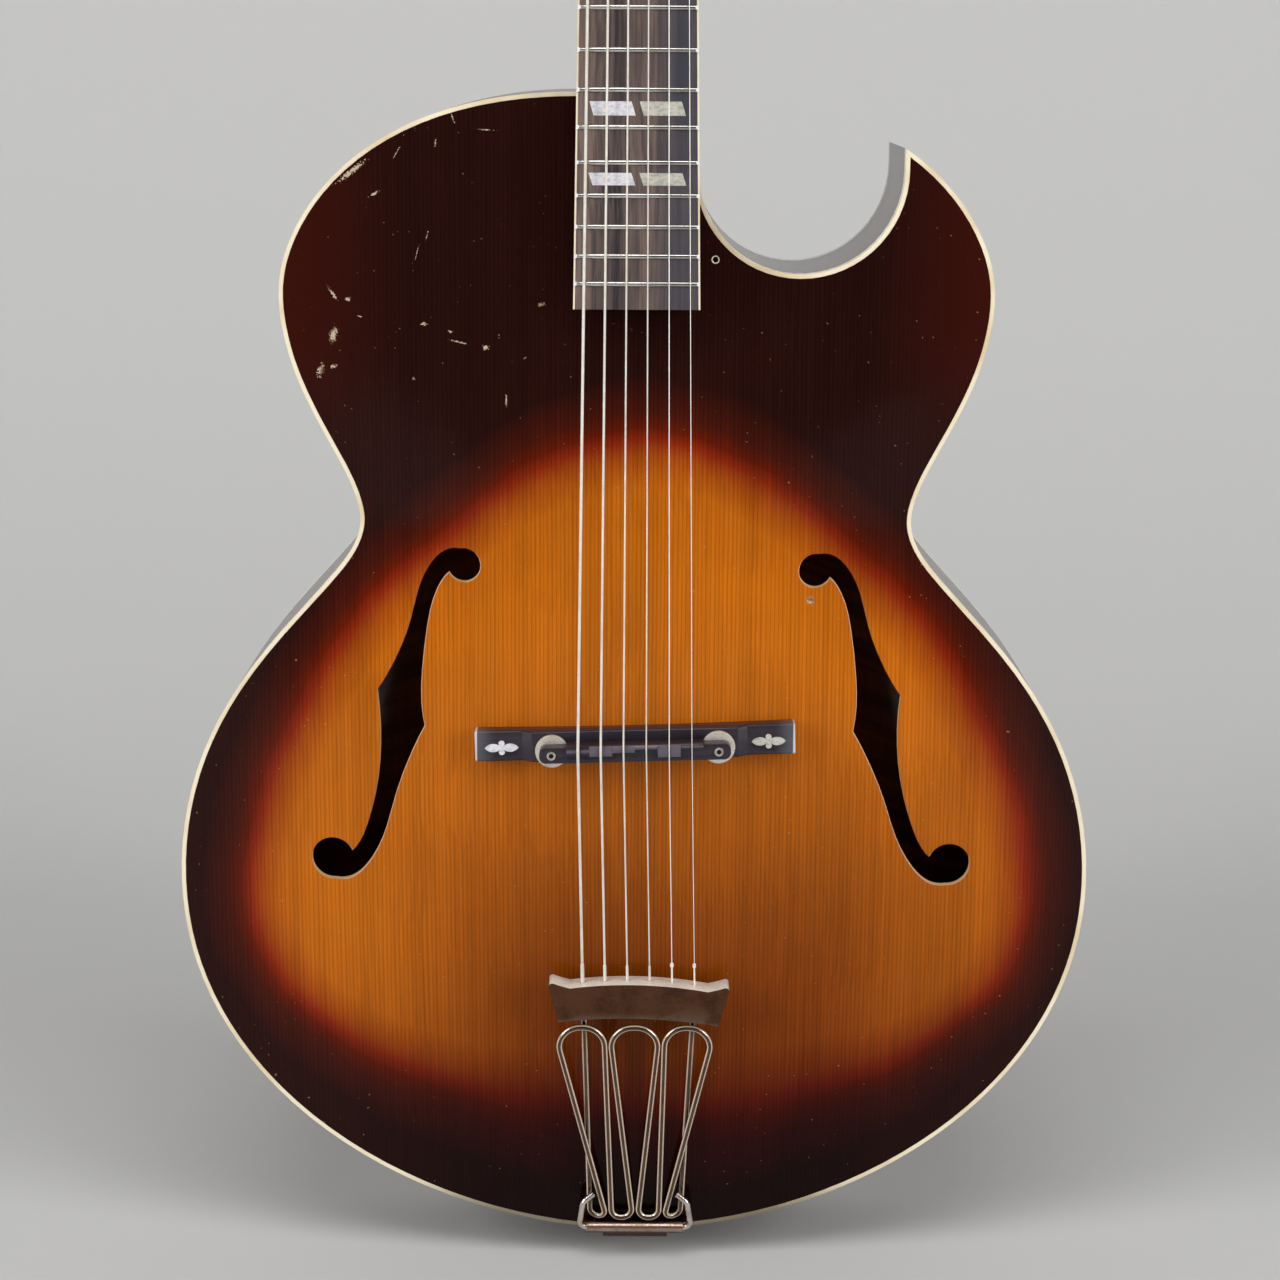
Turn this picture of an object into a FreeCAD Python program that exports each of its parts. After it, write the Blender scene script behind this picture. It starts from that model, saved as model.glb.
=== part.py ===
import FreeCAD, Part
import math
import os
from FreeCAD import Vector

# Archtop guitar: hollow carved body with a pointed cutaway, set neck, angled head, wire tailpiece.
# Millimetres. +Z runs up the neck, the soundboard faces -Y and the cutaway is on the +X side.
# The origin lies on the end pin's axis, level with the lowest place of the tail.

# Body outline
BODY_LENGTH = 526.0
LOWER_BOUT_WIDTH = 414.6
LOWER_BOUT_HEIGHT = 171.0
WAIST_WIDTH = 245.4
WAIST_FROM_SHOULDER = 188.0
UPPER_BOUT_WIDTH = 314.0
UPPER_BOUT_FROM_SHOULDER = 87.0
SHOULDER_HALF_WIDTH = 26.0
CUTAWAY_RADIUS = 44.8
CUTAWAY_CENTRE_X = 71.6
CUTAWAY_DEPTH = 78.0
CURVE_STEPS = 8
WIDTH_STEPS = 60

# How full each curve of the outline is, as a share of the run that it spans
TAIL_FULLNESS = 0.48
LOWER_FULLNESS_BELOW = 0.6
LOWER_FULLNESS_ABOVE = 0.598
WAIST_FULLNESS_BELOW = 0.185
WAIST_FULLNESS_ABOVE = 0.2446
UPPER_FULLNESS_BELOW = 0.4614
UPPER_FULLNESS_ABOVE = 0.3207
SHOULDER_FULLNESS = 0.7585

# Body shell
RIM_DEPTH = 86.0
PLATE_THICKNESS = 4.0
TOP_ARCH = 16.0
BACK_ARCH = 14.0
ARCH_LENGTH_POWER = 1.3
ARCH_WIDTH_POWER = 1.6
CUTAWAY_BLEND = 60.0
ARCH_GRID_X = 25
ARCH_GRID_Z = 31
GRID_OVERHANG = 8.0
SIDE_THICKNESS = 2.6
BINDING_WIDTH = 1.9
BINDING_HEIGHT = 6.5
LINING_WIDTH = 6.0
LINING_DEPTH = 14.0
NECK_BLOCK_LENGTH = 62.0
NECK_BLOCK_WIDTH = 66.0
TAIL_BLOCK_LENGTH = 22.0
TAIL_BLOCK_WIDTH = 70.0
TONE_BAR_WIDTH = 7.0
TONE_BAR_HEIGHT = 12.0
TONE_BAR_SPREAD = 62.0
TONE_BAR_START = 90.0
TONE_BAR_FROM_SHOULDER = 86.0
GLUE = 0.05
OVERCUT = 5.0
SCREW_HOLE_RADIUS = 1.25
SCREW_HOLE_X = 34.3
SCREW_HOLE_FROM_JOINT = 71.7

# Treble sound hole: further out and lower than the bass one, and splayed out below the bridge
TREBLE_HOLE_SHIFT = 3.8
TREBLE_HOLE_SPLAY = 2.6
TREBLE_HOLE_DROP = 1.8

# Sound holes, as (sideways from the centre line, upwards from the bridge line) on the bass side
EYE_TOP = (76.4, 72.2, 7.5)
EYE_BOTTOM = (137.0, -64.2, 9.8)
OUTER_NICK = (115.8, 14.8)
INNER_NICK = (94.3, -0.9)
BLADE_OUTER_UPPER = ((77.9, 79.6), (85.0, 78.4), (91.5, 72.0), (96.7, 61.3), (101.0, 45.2), (106.9, 30.1))
BLADE_OUTER_LOWER = ((114.5, -3.7), (116.0, -26.8), (120.4, -45.6), (127.6, -59.8), (132.0, -63.0))
BLADE_INNER_LOWER = ((136.0, -74.0), (128.7, -73.0), (119.6, -64.2),
                     (112.8, -50.0), (108.0, -33.4), (102.2, -17.4))
BLADE_INNER_UPPER = ((95.8, 12.8), (95.0, 28.0), (92.8, 45.3), (88.3, 61.5), (84.4, 67.4), (80.0, 70.5))

# Neck and fingerboard
SCALE_LENGTH = 628.65
FRET_COUNT = 20
JOINT_FRET = 14
FRET_PAST_JOINT = 1.2
NECK_ANGLE = 3.53
BOARD_RISE = 17.0
NUT_WIDTH = 42.8
LAST_FRET_WIDTH = 54.6
BOARD_THICKNESS = 6.5
BOARD_RADIUS = 305.0
BOARD_OVERHANG = 11.0
BOARD_BINDING = 0.8
FRET_WIDTH = 2.3
FRET_HEIGHT = 1.0
FRET_END_GAP = 0.1
FRET_END_RUN = 1.2
TANG_WIDTH = 0.5
TANG_DEPTH = 1.6
INLAY_FRETS = (3, 5, 7, 9, 12, 15, 17)
INLAY_DEPTH = 1.4
INLAY_SHARE = 0.38
INLAY_GAP = 3.4
INLAY_SLANT = 1.8
INLAY_MARGIN = 6.6
NECK_DEPTH_NUT = 14.8
NECK_DEPTH_HEEL = 18.6
HEEL_LENGTH = 24.0
HEEL_SWEEP = 76.0
HEEL_SWEEP_POWER = 2.4
HEEL_SECTIONS = 6
HEEL_NARROWING = 0.5
NECK_FULLNESS = 0.72
NECK_CHEEK = 0.46
NECK_HIP = 0.82
HEEL_CAP = 3.0
HEEL_SEAT = 0.15
EXTENSION_DEPTH = 6.0
EXTENSION_INSET = 1.0
EXTENSION_SETBACK = 2.0
TENON_LENGTH = 22.0
TENON_WIDTH = 30.0
TENON_FLARE = 4.0
TENON_TOP = 7.0
TENON_DEPTH = 68.0
NUT_THICKNESS = 5.0
NUT_STRING_SPREAD = 36.0
NUT_ACTION = 1.5
NUT_SLOT_EASE = 0.1
NUT_BREAK = 0.4
TRUSS_ROD_RADIUS = 2.4
TRUSS_ROD_DROP = 6.4
TRUSS_NUT_RADIUS = 3.8
TRUSS_NUT_LENGTH = 11.0
TRUSS_CLEARANCE = 0.3
TRUSS_POCKET_LENGTH = 29.0

# Head and tuners
HEAD_ANGLE = 14.0
HEAD_THICKNESS = 14.5
HEAD_LENGTH = 178.0
HEAD_DROP = 4.0
HEAD_SHOULDER_WIDTH = 71.0
HEAD_TOP_WIDTH = 86.0
HEAD_CORNER_DROP = 14.0
HEAD_STRAIGHT = 4.0
VENEER_THICKNESS = 1.2
COVER_LENGTH = 34.0
COVER_WIDTH = 20.0
COVER_TIP_WIDTH = 9.0
COVER_THICKNESS = 1.6
COVER_GAP = 0.2
COVER_WAIST = 1.25
COVER_WAIST_HEIGHT = 0.52
FIRST_POST = 46.0
POST_SPACING = 40.0
FIRST_POST_X = 24.0
POST_X_STEP = 2.2
POST_RADIUS = 3.1
POST_STAND = 17.0
POST_HOLE_LEVEL = 12.0
POST_HOLE_RADIUS = 1.0
STRING_LEVEL = 6.0
BUSHING_RADIUS = 4.4
BUSHING_FLANGE = 6.2
BUSHING_LIP = 1.8
BUSHING_LENGTH = 8.0
GEAR_TEETH = 15
GEAR_PITCH_RADIUS = 4.5
GEAR_TIP = 0.3
GEAR_ROOT = 0.65
GEAR_SLOT = 1.24
GEAR_WIDTH = 2.4
GEAR_LEVEL = 3.2
WORM_CORE = 1.2
WORM_HELIX_RADIUS = 1.4
WORM_WIRE = 0.32
WORM_OFFSET = 6.1
WORM_TURNS = 4
SHAFT_RADIUS = 1.9
SHAFT_REACH = 26.0
HOUSING_HALF = 8.3
HOUSING_DEPTH = 10.4
HOUSING_TAIL = 8.0
HOUSING_NOSE = 11.0
HOUSING_WALL = 0.9
HOUSING_ROUNDING = 1.4
EAR_LENGTH = 6.0
EAR_WIDTH = 8.0
EAR_THICKNESS = 1.2
BUTTON_START = 18.0
BUTTON_LENGTH = 19.0
BUTTON_WIDTH = 16.0
BUTTON_THICKNESS = 6.6
BUTTON_ROUNDING = 2.2
COLLAR_RADIUS = 3.0
COLLAR_LENGTH = 3.0
RUNNING_FIT = 0.06
SCREW_SHANK = 1.1
SCREW_HEAD = 2.3
SCREW_HEAD_HEIGHT = 1.3
SCREW_LENGTH = 8.0
SCREW_SLOPE = 0.6
PILOT_SPARE = 1.0

# Strings, from the thin one on the treble side to the thick one
STRING_DIAMETERS = (0.33, 0.43, 0.61, 0.81, 1.07, 1.32)
STRING_BEND = 8.0
NUT_BEND = 2.0
STRING_SEAT = 0.03
STRING_ENDS_BEFORE_POST = 2.0
WINDING_TURNS = (3, 3, 3, 2, 2, 2)
WINDING_SPARE = 0.45
BALL_RADIUS = 1.9
BALL_LENGTH = 3.2

# Bridge
BRIDGE_SPREAD = 50.2
BRIDGE_X = 0.3
BRIDGE_FROM_SCALE_LINE = 6.7
BRIDGE_TILT = 1.8
BASE_LENGTH = 142.8
BASE_WIDTH = 13.8
BASE_OFFSET = 1.4
BASE_RISE = 25.0
BASE_WING_RISE = 21.5
BASE_CENTRE_LENGTH = 96.0
BASE_SLOPE = 4.0
BASE_CHAMFER = 0.6
BRIDGE_POST_SPAN = 74.0
BRIDGE_POST_RADIUS = 2.0
BRIDGE_POST_BELOW = 6.0
BRIDGE_POST_TOP = 36.4
WHEEL_RADIUS = 7.5
WHEEL_THICKNESS = 2.4
WHEEL_LIFT = 0.8
WHEEL_TEETH = 44
WHEEL_KNURL = 0.35
SADDLE_LENGTH = 84.6
SADDLE_WIDTH = 6.9
SADDLE_GAP = 0.1
SADDLE_FIT = 0.1
SADDLE_ROUNDING = 3.0
SADDLE_SHELF = 36.0
SADDLE_RISE = 39.0
RIDGE_FRONT = 4.4
RIDGE_FALL = 0.7
RIDGE_STEPS = (1.8, -1.35, 2.5, 1.2, -0.35, -0.1)
ORNAMENT_X = 59.5
ORNAMENT_OFFSET = 0.6
ORNAMENT_LEAF = 7.6
ORNAMENT_LEAF_WIDTH = 3.8
ORNAMENT_SWELL = 0.55
ORNAMENT_LOBE = 1.35
ORNAMENT_LOBE_OFFSET = 2.0
ORNAMENT_DEPTH = 1.0
ORNAMENT_FIT = 0.02

# Tailpiece
TAILPIECE_X = 1.3
HINGE_RISE = 4.7
HINGE_HEIGHT = 3.0
TAILPIECE_ANGLE = 8.3
TAIL_SPREAD = 50.8
BAR_SHIFT = 1.15
BAR_TURN = 1.4
BAR_TIP = (41.4, 130.2)
BAR_DIP = (31.2, 126.9)
BAR_TOP_CENTRE = 129.5
BAR_LIP = (35.4, 128.0)
BAR_SIDE = (39.2, 120.3)
BAR_FOOT = (36.4, 109.6)
BAR_FOOT_CENTRE = 112.4
BAR_THICKNESS = 9.0
BAR_EAR_ROUNDING = 1.6
BAR_CAVITY_HALF = 31.0
BAR_CAVITY_FRONT = 2.3
BAR_CAVITY_BOTTOM = 115.4
BAR_CAVITY_TOP = 124.4
STRING_HOLE_CLEARANCE = 0.3
WIRE_RADIUS = 1.4
WIRE_BACK = 3.2
ROD_BACK = 2.7
WIRE_TOP = 105.5
WIRE_BOTTOM = 5.4
ROD_TOP = 118.5
ROD_TOP_X = 25.2
ROD_X = 21.1
CURL_X = 13.5
LOOP_OUTER_X = 37.0
LOOP_INNER_X = 14.0
FOOT_OUTER_X = 11.0
FOOT_INNER_X = 1.15
LOOP_CENTRE_X = 11.6
LOOP_SHIFT = -0.7
CURL_BACK_BEND = 3.3
CURL_FRONT_BEND = 3.4
LOOP_BEND = 9.8
FOOT_BEND = 4.5
PIN_REACH = 26.2
PIN_BEND = 3.6
PIN_FIT = 0.08
HOOK_FRONT = 3.2
HOOK_KNEE = (24.4, 15.2)
HOOK_END = (19.3, 19.0)
BARREL_RADIUS = 2.7
BARREL_HALF = 22.5
BRACKET_WIDTH = 30.0
BRACKET_LENGTH = 62.0
BRACKET_THICKNESS = 1.6
BRACKET_GAP = 0.2
BRACKET_SCREWS = ((-9.0, 14.0), (9.0, 14.0), (0.0, 54.0))
END_PIN_SHAFT = 3.5
END_PIN_INSIDE = 24.0
END_PIN_COLLAR = 5.6
END_PIN_COLLAR_LENGTH = 1.6
END_PIN_NECK = 4.2
END_PIN_NECK_LENGTH = 5.0
END_PIN_HEAD = 6.6
END_PIN_HEAD_LENGTH = 5.0
END_PIN_ROUNDING = 2.2

# Places that follow from the sizes above
FRONT = -RIM_DEPTH / 2
BACK = RIM_DEPTH / 2
FAR = 2 * BODY_LENGTH
JOINT_TO_SADDLE = SCALE_LENGTH * 2 ** (-JOINT_FRET / 12) - FRET_PAST_JOINT
SADDLE_Z = BODY_LENGTH - JOINT_TO_SADDLE
BRIDGE_Z = SADDLE_Z - BRIDGE_FROM_SCALE_LINE
CUTAWAY_Z = BODY_LENGTH - CUTAWAY_DEPTH + CUTAWAY_RADIUS
BAR_MIDDLE = (BAR_FOOT_CENTRE + BAR_TOP_CENTRE) / 2
NUT_L = SCALE_LENGTH - SCALE_LENGTH * 2 ** (-JOINT_FRET / 12) + FRET_PAST_JOINT
STRINGS = len(STRING_DIAMETERS)
X_AXIS = Vector(1, 0, 0)
Y_AXIS = Vector(0, 1, 0)
Z_AXIS = Vector(0, 0, 1)
ORIGIN = Vector(0, 0, 0)


def block(x0, x1, y0, y1, z0, z1):
    return Part.makeBox(x1 - x0, y1 - y0, z1 - z0, Vector(x0, y0, z0))


def rod(start, end, radius):
    return Part.makeCylinder(radius, (end - start).Length, start, end - start)


def flat_face(edges):
    return Part.Face(Part.Wire(edges))


def polygon_face(points):
    return Part.Face(Part.makePolygon(points + points[:1]))


def curve_edge(points):
    curve = Part.BSplineCurve()
    curve.interpolate(points)
    return curve.toShape()


def arc_edge(start, middle, end):
    return Part.Arc(start, middle, end).toShape()


def line_edge(start, end):
    return Part.LineSegment(start, end).toShape()


def one_solid(shape):
    return shape.Solids[0] if len(shape.Solids) == 1 else shape


def save(name, shapes):
    solids = [solid for shape in shapes for solid in shape.Solids]
    shape = solids[0] if len(solids) == 1 else Part.makeCompound(solids)
    shape.exportStep("parts/" + name + ".step")


# Bent wires: straight runs joined by tangent arcs

def corner_arc(start, corner, end):
    half_way = (start + end) / 2
    to_corner = corner - half_way
    chord = end - start
    angle = chord.getAngle(corner - start)
    rise = chord.Length / 2 * math.tan(angle / 2)
    return arc_edge(start, half_way + to_corner.normalize() * rise, end)


def bent_path(points, bends):
    edges = []
    start = points[0]
    for before, corner, after, bend in zip(points, points[1:], points[2:], bends):
        arriving = (corner - before).normalize()
        leaving = (after - corner).normalize()
        cut = bend * math.tan(arriving.getAngle(leaving) / 2)
        edges.append(line_edge(start, corner - arriving * cut))
        edges.append(corner_arc(corner - arriving * cut, corner, corner + leaving * cut))
        start = corner + leaving * cut
    edges.append(line_edge(start, points[-1]))
    return Part.Wire(edges)


def tube(path, radius):
    first = path.Edges[0]
    direction = first.tangentAt(first.FirstParameter)
    start = first.valueAt(first.FirstParameter)
    section = Part.Wire(Part.makeCircle(radius, start, direction))
    return path.makePipeShell([section], True, False)


# Helix about +Y from quarter turns, each of two tangent arcs; it climbs towards -Y
def helix_edges(centre, radius, pitch, turns, start_angle, sense):
    def place(quarter):
        angle = start_angle + sense * quarter * math.pi / 2
        return centre + Vector(radius * math.cos(angle), -pitch * quarter / 4, radius * math.sin(angle))

    def heading(quarter):
        angle = start_angle + sense * quarter * math.pi / 2
        around = 2 * math.pi * radius * sense
        return Vector(-around * math.sin(angle), -pitch, around * math.cos(angle)).normalize()

    edges = []
    for quarter in range(4 * turns):
        start, end = place(quarter), place(quarter + 1)
        leave, arrive = heading(quarter), heading(quarter + 1)
        chord = end - start
        both = leave + arrive
        spread = 2 * (1 - leave.dot(arrive))
        along = chord.dot(both)
        reach = (-along + math.sqrt(along ** 2 + spread * chord.dot(chord))) / spread
        first_corner = start + leave * reach
        second_corner = end - arrive * reach
        middle = (first_corner + second_corner) / 2
        edges.append(corner_arc(start, first_corner, middle))
        edges.append(corner_arc(middle, second_corner, end))
    return edges, heading(0), heading(4 * turns)


def least_gap(name, path, wire_diameter, pitch):
    points = [edge.valueAt(edge.FirstParameter) for edge in path.Edges]
    far_apart = [(a - b).Length for i, a in enumerate(points) for b in points[i + 6:]]
    print(name, "least gap to itself", round(min(far_apart) - wire_diameter, 3), "at pitch", round(pitch, 3))


# Body outline: four cubic curves a side, from the tail to the shoulder
def outline_curves():
    lower = LOWER_BOUT_WIDTH / 2
    waist = WAIST_WIDTH / 2
    upper = UPPER_BOUT_WIDTH / 2
    low, top = LOWER_BOUT_HEIGHT, BODY_LENGTH
    mid, high = top - WAIST_FROM_SHOULDER, top - UPPER_BOUT_FROM_SHOULDER
    shoulder = SHOULDER_HALF_WIDTH
    return (
        ((0, 0), (lower * TAIL_FULLNESS, 0),
         (lower, low - low * LOWER_FULLNESS_BELOW), (lower, low)),
        ((lower, low), (lower, low + (mid - low) * LOWER_FULLNESS_ABOVE),
         (waist, mid - (mid - low) * WAIST_FULLNESS_BELOW), (waist, mid)),
        ((waist, mid), (waist, mid + (high - mid) * WAIST_FULLNESS_ABOVE),
         (upper, high - (high - mid) * UPPER_FULLNESS_BELOW), (upper, high)),
        ((upper, high), (upper, high + (top - high) * UPPER_FULLNESS_ABOVE),
         (shoulder + (upper - shoulder) * SHOULDER_FULLNESS, top), (shoulder, top)),
    )


def cubic(poles, t):
    weights = ((1 - t) ** 3, 3 * (1 - t) ** 2 * t, 3 * (1 - t) * t * t, t ** 3)
    return tuple(sum(w * p[i] for w, p in zip(weights, poles)) for i in (0, 1))


def cubic_slope(poles, t):
    weights = ((1 - t) ** 2, 2 * (1 - t) * t, t * t)
    return tuple(sum(w * (b[i] - a[i]) for w, a, b in zip(weights, poles, poles[1:])) for i in (0, 1))


def half_outline(inset, steps=CURVE_STEPS):
    points = []
    for poles in outline_curves():
        for step in range(steps + 1):
            if step == 0 and points:
                continue
            t = step / steps
            x, z = cubic(poles, t)
            dx, dz = cubic_slope(poles, t)
            size = math.hypot(dx, dz)
            points.append((x - inset * dz / size, z + inset * dx / size))
    return points


HALF_WIDTHS = [(z, x) for x, z in half_outline(0, WIDTH_STEPS)]


def half_width(z):
    for (z0, x0), (z1, x1) in zip(HALF_WIDTHS, HALF_WIDTHS[1:]):
        if z0 <= z < z1:
            return x0 + (x1 - x0) * (z - z0) / (z1 - z0)
    return 0.0


def body_face(inset):
    half = half_outline(inset)
    bass = [Vector(-x, 0, z) for x, z in reversed(half)]
    treble = [Vector(x, 0, z) for x, z in half[1:]]
    rim = curve_edge(bass + treble)
    whole = flat_face([rim, line_edge(treble[-1], bass[0])])
    radius = CUTAWAY_RADIUS + inset
    centre = Vector(CUTAWAY_CENTRE_X, 0, CUTAWAY_Z)
    disc = Part.Face(Part.Wire(Part.makeCircle(radius, centre, Y_AXIS)))
    left, right = CUTAWAY_CENTRE_X - radius, CUTAWAY_CENTRE_X + radius
    above = polygon_face([Vector(left, 0, CUTAWAY_Z), Vector(right, 0, CUTAWAY_Z),
                          Vector(right, 0, FAR), Vector(left, 0, FAR)])
    return whole.cut(disc).cut(above).Faces[0]


def body_prism(inset, y0, y1):
    face = body_face(inset)
    face.translate(Vector(0, y0, 0))
    return face.extrude(Vector(0, y1 - y0, 0))


def body_ring(outer, inner, y0, y1):
    return body_prism(outer, y0, y1).cut(body_prism(inner, y0 - OVERCUT, y1 + OVERCUT))


# Arched plates: a height over the rim that falls to nothing, level, at every edge
def arch_share(x, z):
    span = JOINT_TO_SADDLE if z > SADDLE_Z else SADDLE_Z
    along = min(1.0, abs(z - SADDLE_Z) / span)
    half = half_width(z)
    across = min(1.0, abs(x) / half) if half > 0 else 1.0
    away = math.hypot(x - CUTAWAY_CENTRE_X, z - CUTAWAY_Z) - CUTAWAY_RADIUS
    near = max(0.0, min(1.0, away / CUTAWAY_BLEND))
    clear = near * near * (3 - 2 * near)
    return (1 - along ** 2) ** ARCH_LENGTH_POWER * (1 - across ** 2) ** ARCH_WIDTH_POWER * clear


def arch_face(rise, rim_y, outward):
    wide = LOWER_BOUT_WIDTH / 2 + GRID_OVERHANG
    tall = BODY_LENGTH + 2 * GRID_OVERHANG
    rows = []
    for i in range(ARCH_GRID_X):
        x = -wide + 2 * wide * i / (ARCH_GRID_X - 1)
        places = [tall * j / (ARCH_GRID_Z - 1) - GRID_OVERHANG for j in range(ARCH_GRID_Z)]
        rows.append([Vector(x, rim_y + outward * rise * arch_share(x, z), z) for z in places])
    surface = Part.BSplineSurface()
    surface.interpolate(rows)
    return surface.toShape()


TOP_FACE = arch_face(TOP_ARCH, FRONT, -1)
BACK_FACE = arch_face(BACK_ARCH, BACK, 1)


def slab(face, y0, y1):
    moved = face.copy()
    moved.translate(Vector(0, y0, 0))
    return moved.extrude(Vector(0, y1 - y0, 0))


def sound_hole(side):
    def at(point):
        x, z = point[0], point[1]
        if side > 0:
            x += TREBLE_HOLE_SHIFT + TREBLE_HOLE_SPLAY * min(0, z) / EYE_BOTTOM[1]
            z -= TREBLE_HOLE_DROP
        return Vector(side * x, 0, SADDLE_Z + z)

    def run(points):
        return curve_edge([at(point) for point in points])

    blade = flat_face([run(BLADE_OUTER_UPPER + (OUTER_NICK,)),
                       run((OUTER_NICK,) + BLADE_OUTER_LOWER),
                       line_edge(at(BLADE_OUTER_LOWER[-1]), at(BLADE_INNER_LOWER[0])),
                       run(BLADE_INNER_LOWER + (INNER_NICK,)),
                       run((INNER_NICK,) + BLADE_INNER_UPPER),
                       line_edge(at(BLADE_INNER_UPPER[-1]), at(BLADE_OUTER_UPPER[0]))])
    deep = Vector(0, RIM_DEPTH, 0)
    blade.translate(-deep)
    hole = blade.extrude(deep)
    for x, z, radius in (EYE_TOP, EYE_BOTTOM):
        eye = at((x, z))
        hole = hole.fuse(rod(eye - deep, eye, radius))
    return hole


def soundboard():
    inside = body_prism(BINDING_WIDTH + GLUE, FRONT - RIM_DEPTH, 0)
    plate = slab(TOP_FACE, 0, PLATE_THICKNESS).common(inside)
    plate = plate.cut(sound_hole(-1)).cut(sound_hole(1))
    screw_z = BODY_LENGTH - SCREW_HOLE_FROM_JOINT
    before, behind = Vector(SCREW_HOLE_X, FRONT - RIM_DEPTH, screw_z), Vector(SCREW_HOLE_X, 0, screw_z)
    return plate.cut(rod(before, behind, SCREW_HOLE_RADIUS))


def back_plate():
    inside = body_prism(BINDING_WIDTH + GLUE, 0, BACK + RIM_DEPTH)
    return slab(BACK_FACE, -PLATE_THICKNESS, 0).common(inside)


def end_pin_bore(clearance):
    return rod(Vector(0, 0, -RIM_DEPTH), Vector(0, 0, END_PIN_INSIDE + GLUE), END_PIN_SHAFT + clearance)


def tenon(clearance):
    near = TENON_WIDTH / 2 + clearance
    far = near + TENON_FLARE
    inner = BODY_LENGTH - TENON_LENGTH - clearance
    outer = BODY_LENGTH + SIDE_THICKNESS
    face = polygon_face([Vector(-near, 0, outer), Vector(near, 0, outer),
                         Vector(far, 0, inner), Vector(-far, 0, inner)])
    face.translate(Vector(0, FRONT + TENON_TOP - clearance, 0))
    return face.extrude(Vector(0, TENON_DEPTH + 2 * clearance, 0))


def sides():
    start, end = FRONT + BINDING_HEIGHT + GLUE, BACK - BINDING_HEIGHT - GLUE
    ring = body_ring(0, SIDE_THICKNESS, start, end).cut(tenon(GLUE)).cut(end_pin_bore(GLUE))
    bass = ring.common(block(-FAR, -GLUE / 2, FRONT, BACK, -FAR, FAR))
    treble = ring.common(block(GLUE / 2, FAR, FRONT, BACK, -FAR, FAR))
    return bass, treble


def neck_block():
    top = BODY_LENGTH - SIDE_THICKNESS - GLUE
    half = NECK_BLOCK_WIDTH / 2
    deep = BACK - PLATE_THICKNESS - GLUE
    whole = block(-half, half, -deep, deep, top - NECK_BLOCK_LENGTH, top)
    held = whole.common(body_prism(SIDE_THICKNESS + GLUE, -deep, deep))
    held = held.cut(slab(BACK_FACE, -PLATE_THICKNESS - GLUE, RIM_DEPTH))
    return held.cut(tenon(GLUE))


def tail_block():
    half = TAIL_BLOCK_WIDTH / 2
    deep = BACK - PLATE_THICKNESS - GLUE
    whole = block(-half, half, -deep, deep, 0, SIDE_THICKNESS + TAIL_BLOCK_LENGTH)
    return whole.common(body_prism(SIDE_THICKNESS + GLUE, -deep, deep)).cut(end_pin_bore(GLUE))


def linings(blocks):
    outer = SIDE_THICKNESS + GLUE
    strips = []
    for start in (FRONT + PLATE_THICKNESS + GLUE, BACK - PLATE_THICKNESS - GLUE - LINING_DEPTH):
        ring = body_ring(outer, outer + LINING_WIDTH, start, start + LINING_DEPTH)
        for wood in blocks:
            box = wood.BoundBox
            ring = ring.cut(block(box.XMin - GLUE, box.XMax + GLUE, FRONT, BACK,
                                  box.ZMin - GLUE, box.ZMax + GLUE))
        strips.append(ring)
    return strips


def tone_bars():
    thick = slab(TOP_FACE, PLATE_THICKNESS + GLUE, PLATE_THICKNESS + TONE_BAR_HEIGHT)
    bars = []
    for side in (-1, 1):
        middle = side * TONE_BAR_SPREAD / 2
        strip = block(middle - TONE_BAR_WIDTH / 2, middle + TONE_BAR_WIDTH / 2,
                      FRONT - RIM_DEPTH, BACK, TONE_BAR_START, BODY_LENGTH - TONE_BAR_FROM_SHOULDER)
        bars.append(thick.common(strip))
    return bars


# Neck frame: the board's centre line at the body's edge, y into the wood, z towards the nut
def to_neck(shape):
    shape = shape.copy()
    shape.rotate(ORIGIN, X_AXIS, -NECK_ANGLE)
    shape.translate(Vector(0, FRONT - BOARD_RISE, BODY_LENGTH))
    return shape


def neck_point(point):
    turned = FreeCAD.Rotation(X_AXIS, -NECK_ANGLE).multVec(point)
    return turned + Vector(0, FRONT - BOARD_RISE, BODY_LENGTH)


def fret_place(number):
    return NUT_L - SCALE_LENGTH * (1 - 2 ** (-number / 12))


BOARD_END = fret_place(FRET_COUNT) - BOARD_OVERHANG
BOARD_TAPER = (LAST_FRET_WIDTH - NUT_WIDTH) / 2 / (NUT_L - fret_place(FRET_COUNT))


def board_half(z):
    return NUT_WIDTH / 2 + (NUT_L - z) * BOARD_TAPER


def board_prism(inset, y0, y1, z0=BOARD_END, z1=NUT_L):
    low, high = board_half(z0) - inset, board_half(z1) - inset
    face = polygon_face([Vector(-low, y0, z0), Vector(low, y0, z0),
                         Vector(high, y0, z1), Vector(-high, y0, z1)])
    return face.extrude(Vector(0, y1 - y0, 0))


def board_blank():
    axis = Vector(0, BOARD_RADIUS, 0)
    round_top = rod(axis + Z_AXIS * (BOARD_END - OVERCUT), axis + Z_AXIS * (NUT_L + OVERCUT), BOARD_RADIUS)
    return board_prism(0, -OVERCUT, BOARD_THICKNESS).common(round_top)


def round_bar(z, profile):
    angle = math.degrees(math.asin((board_half(z) + OVERCUT) / BOARD_RADIUS))
    face = flat_face(profile)
    face.rotate(Vector(0, BOARD_RADIUS, 0), Z_AXIS, -angle)
    return face.revolve(Vector(0, BOARD_RADIUS, 0), Z_AXIS, 2 * angle)


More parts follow.
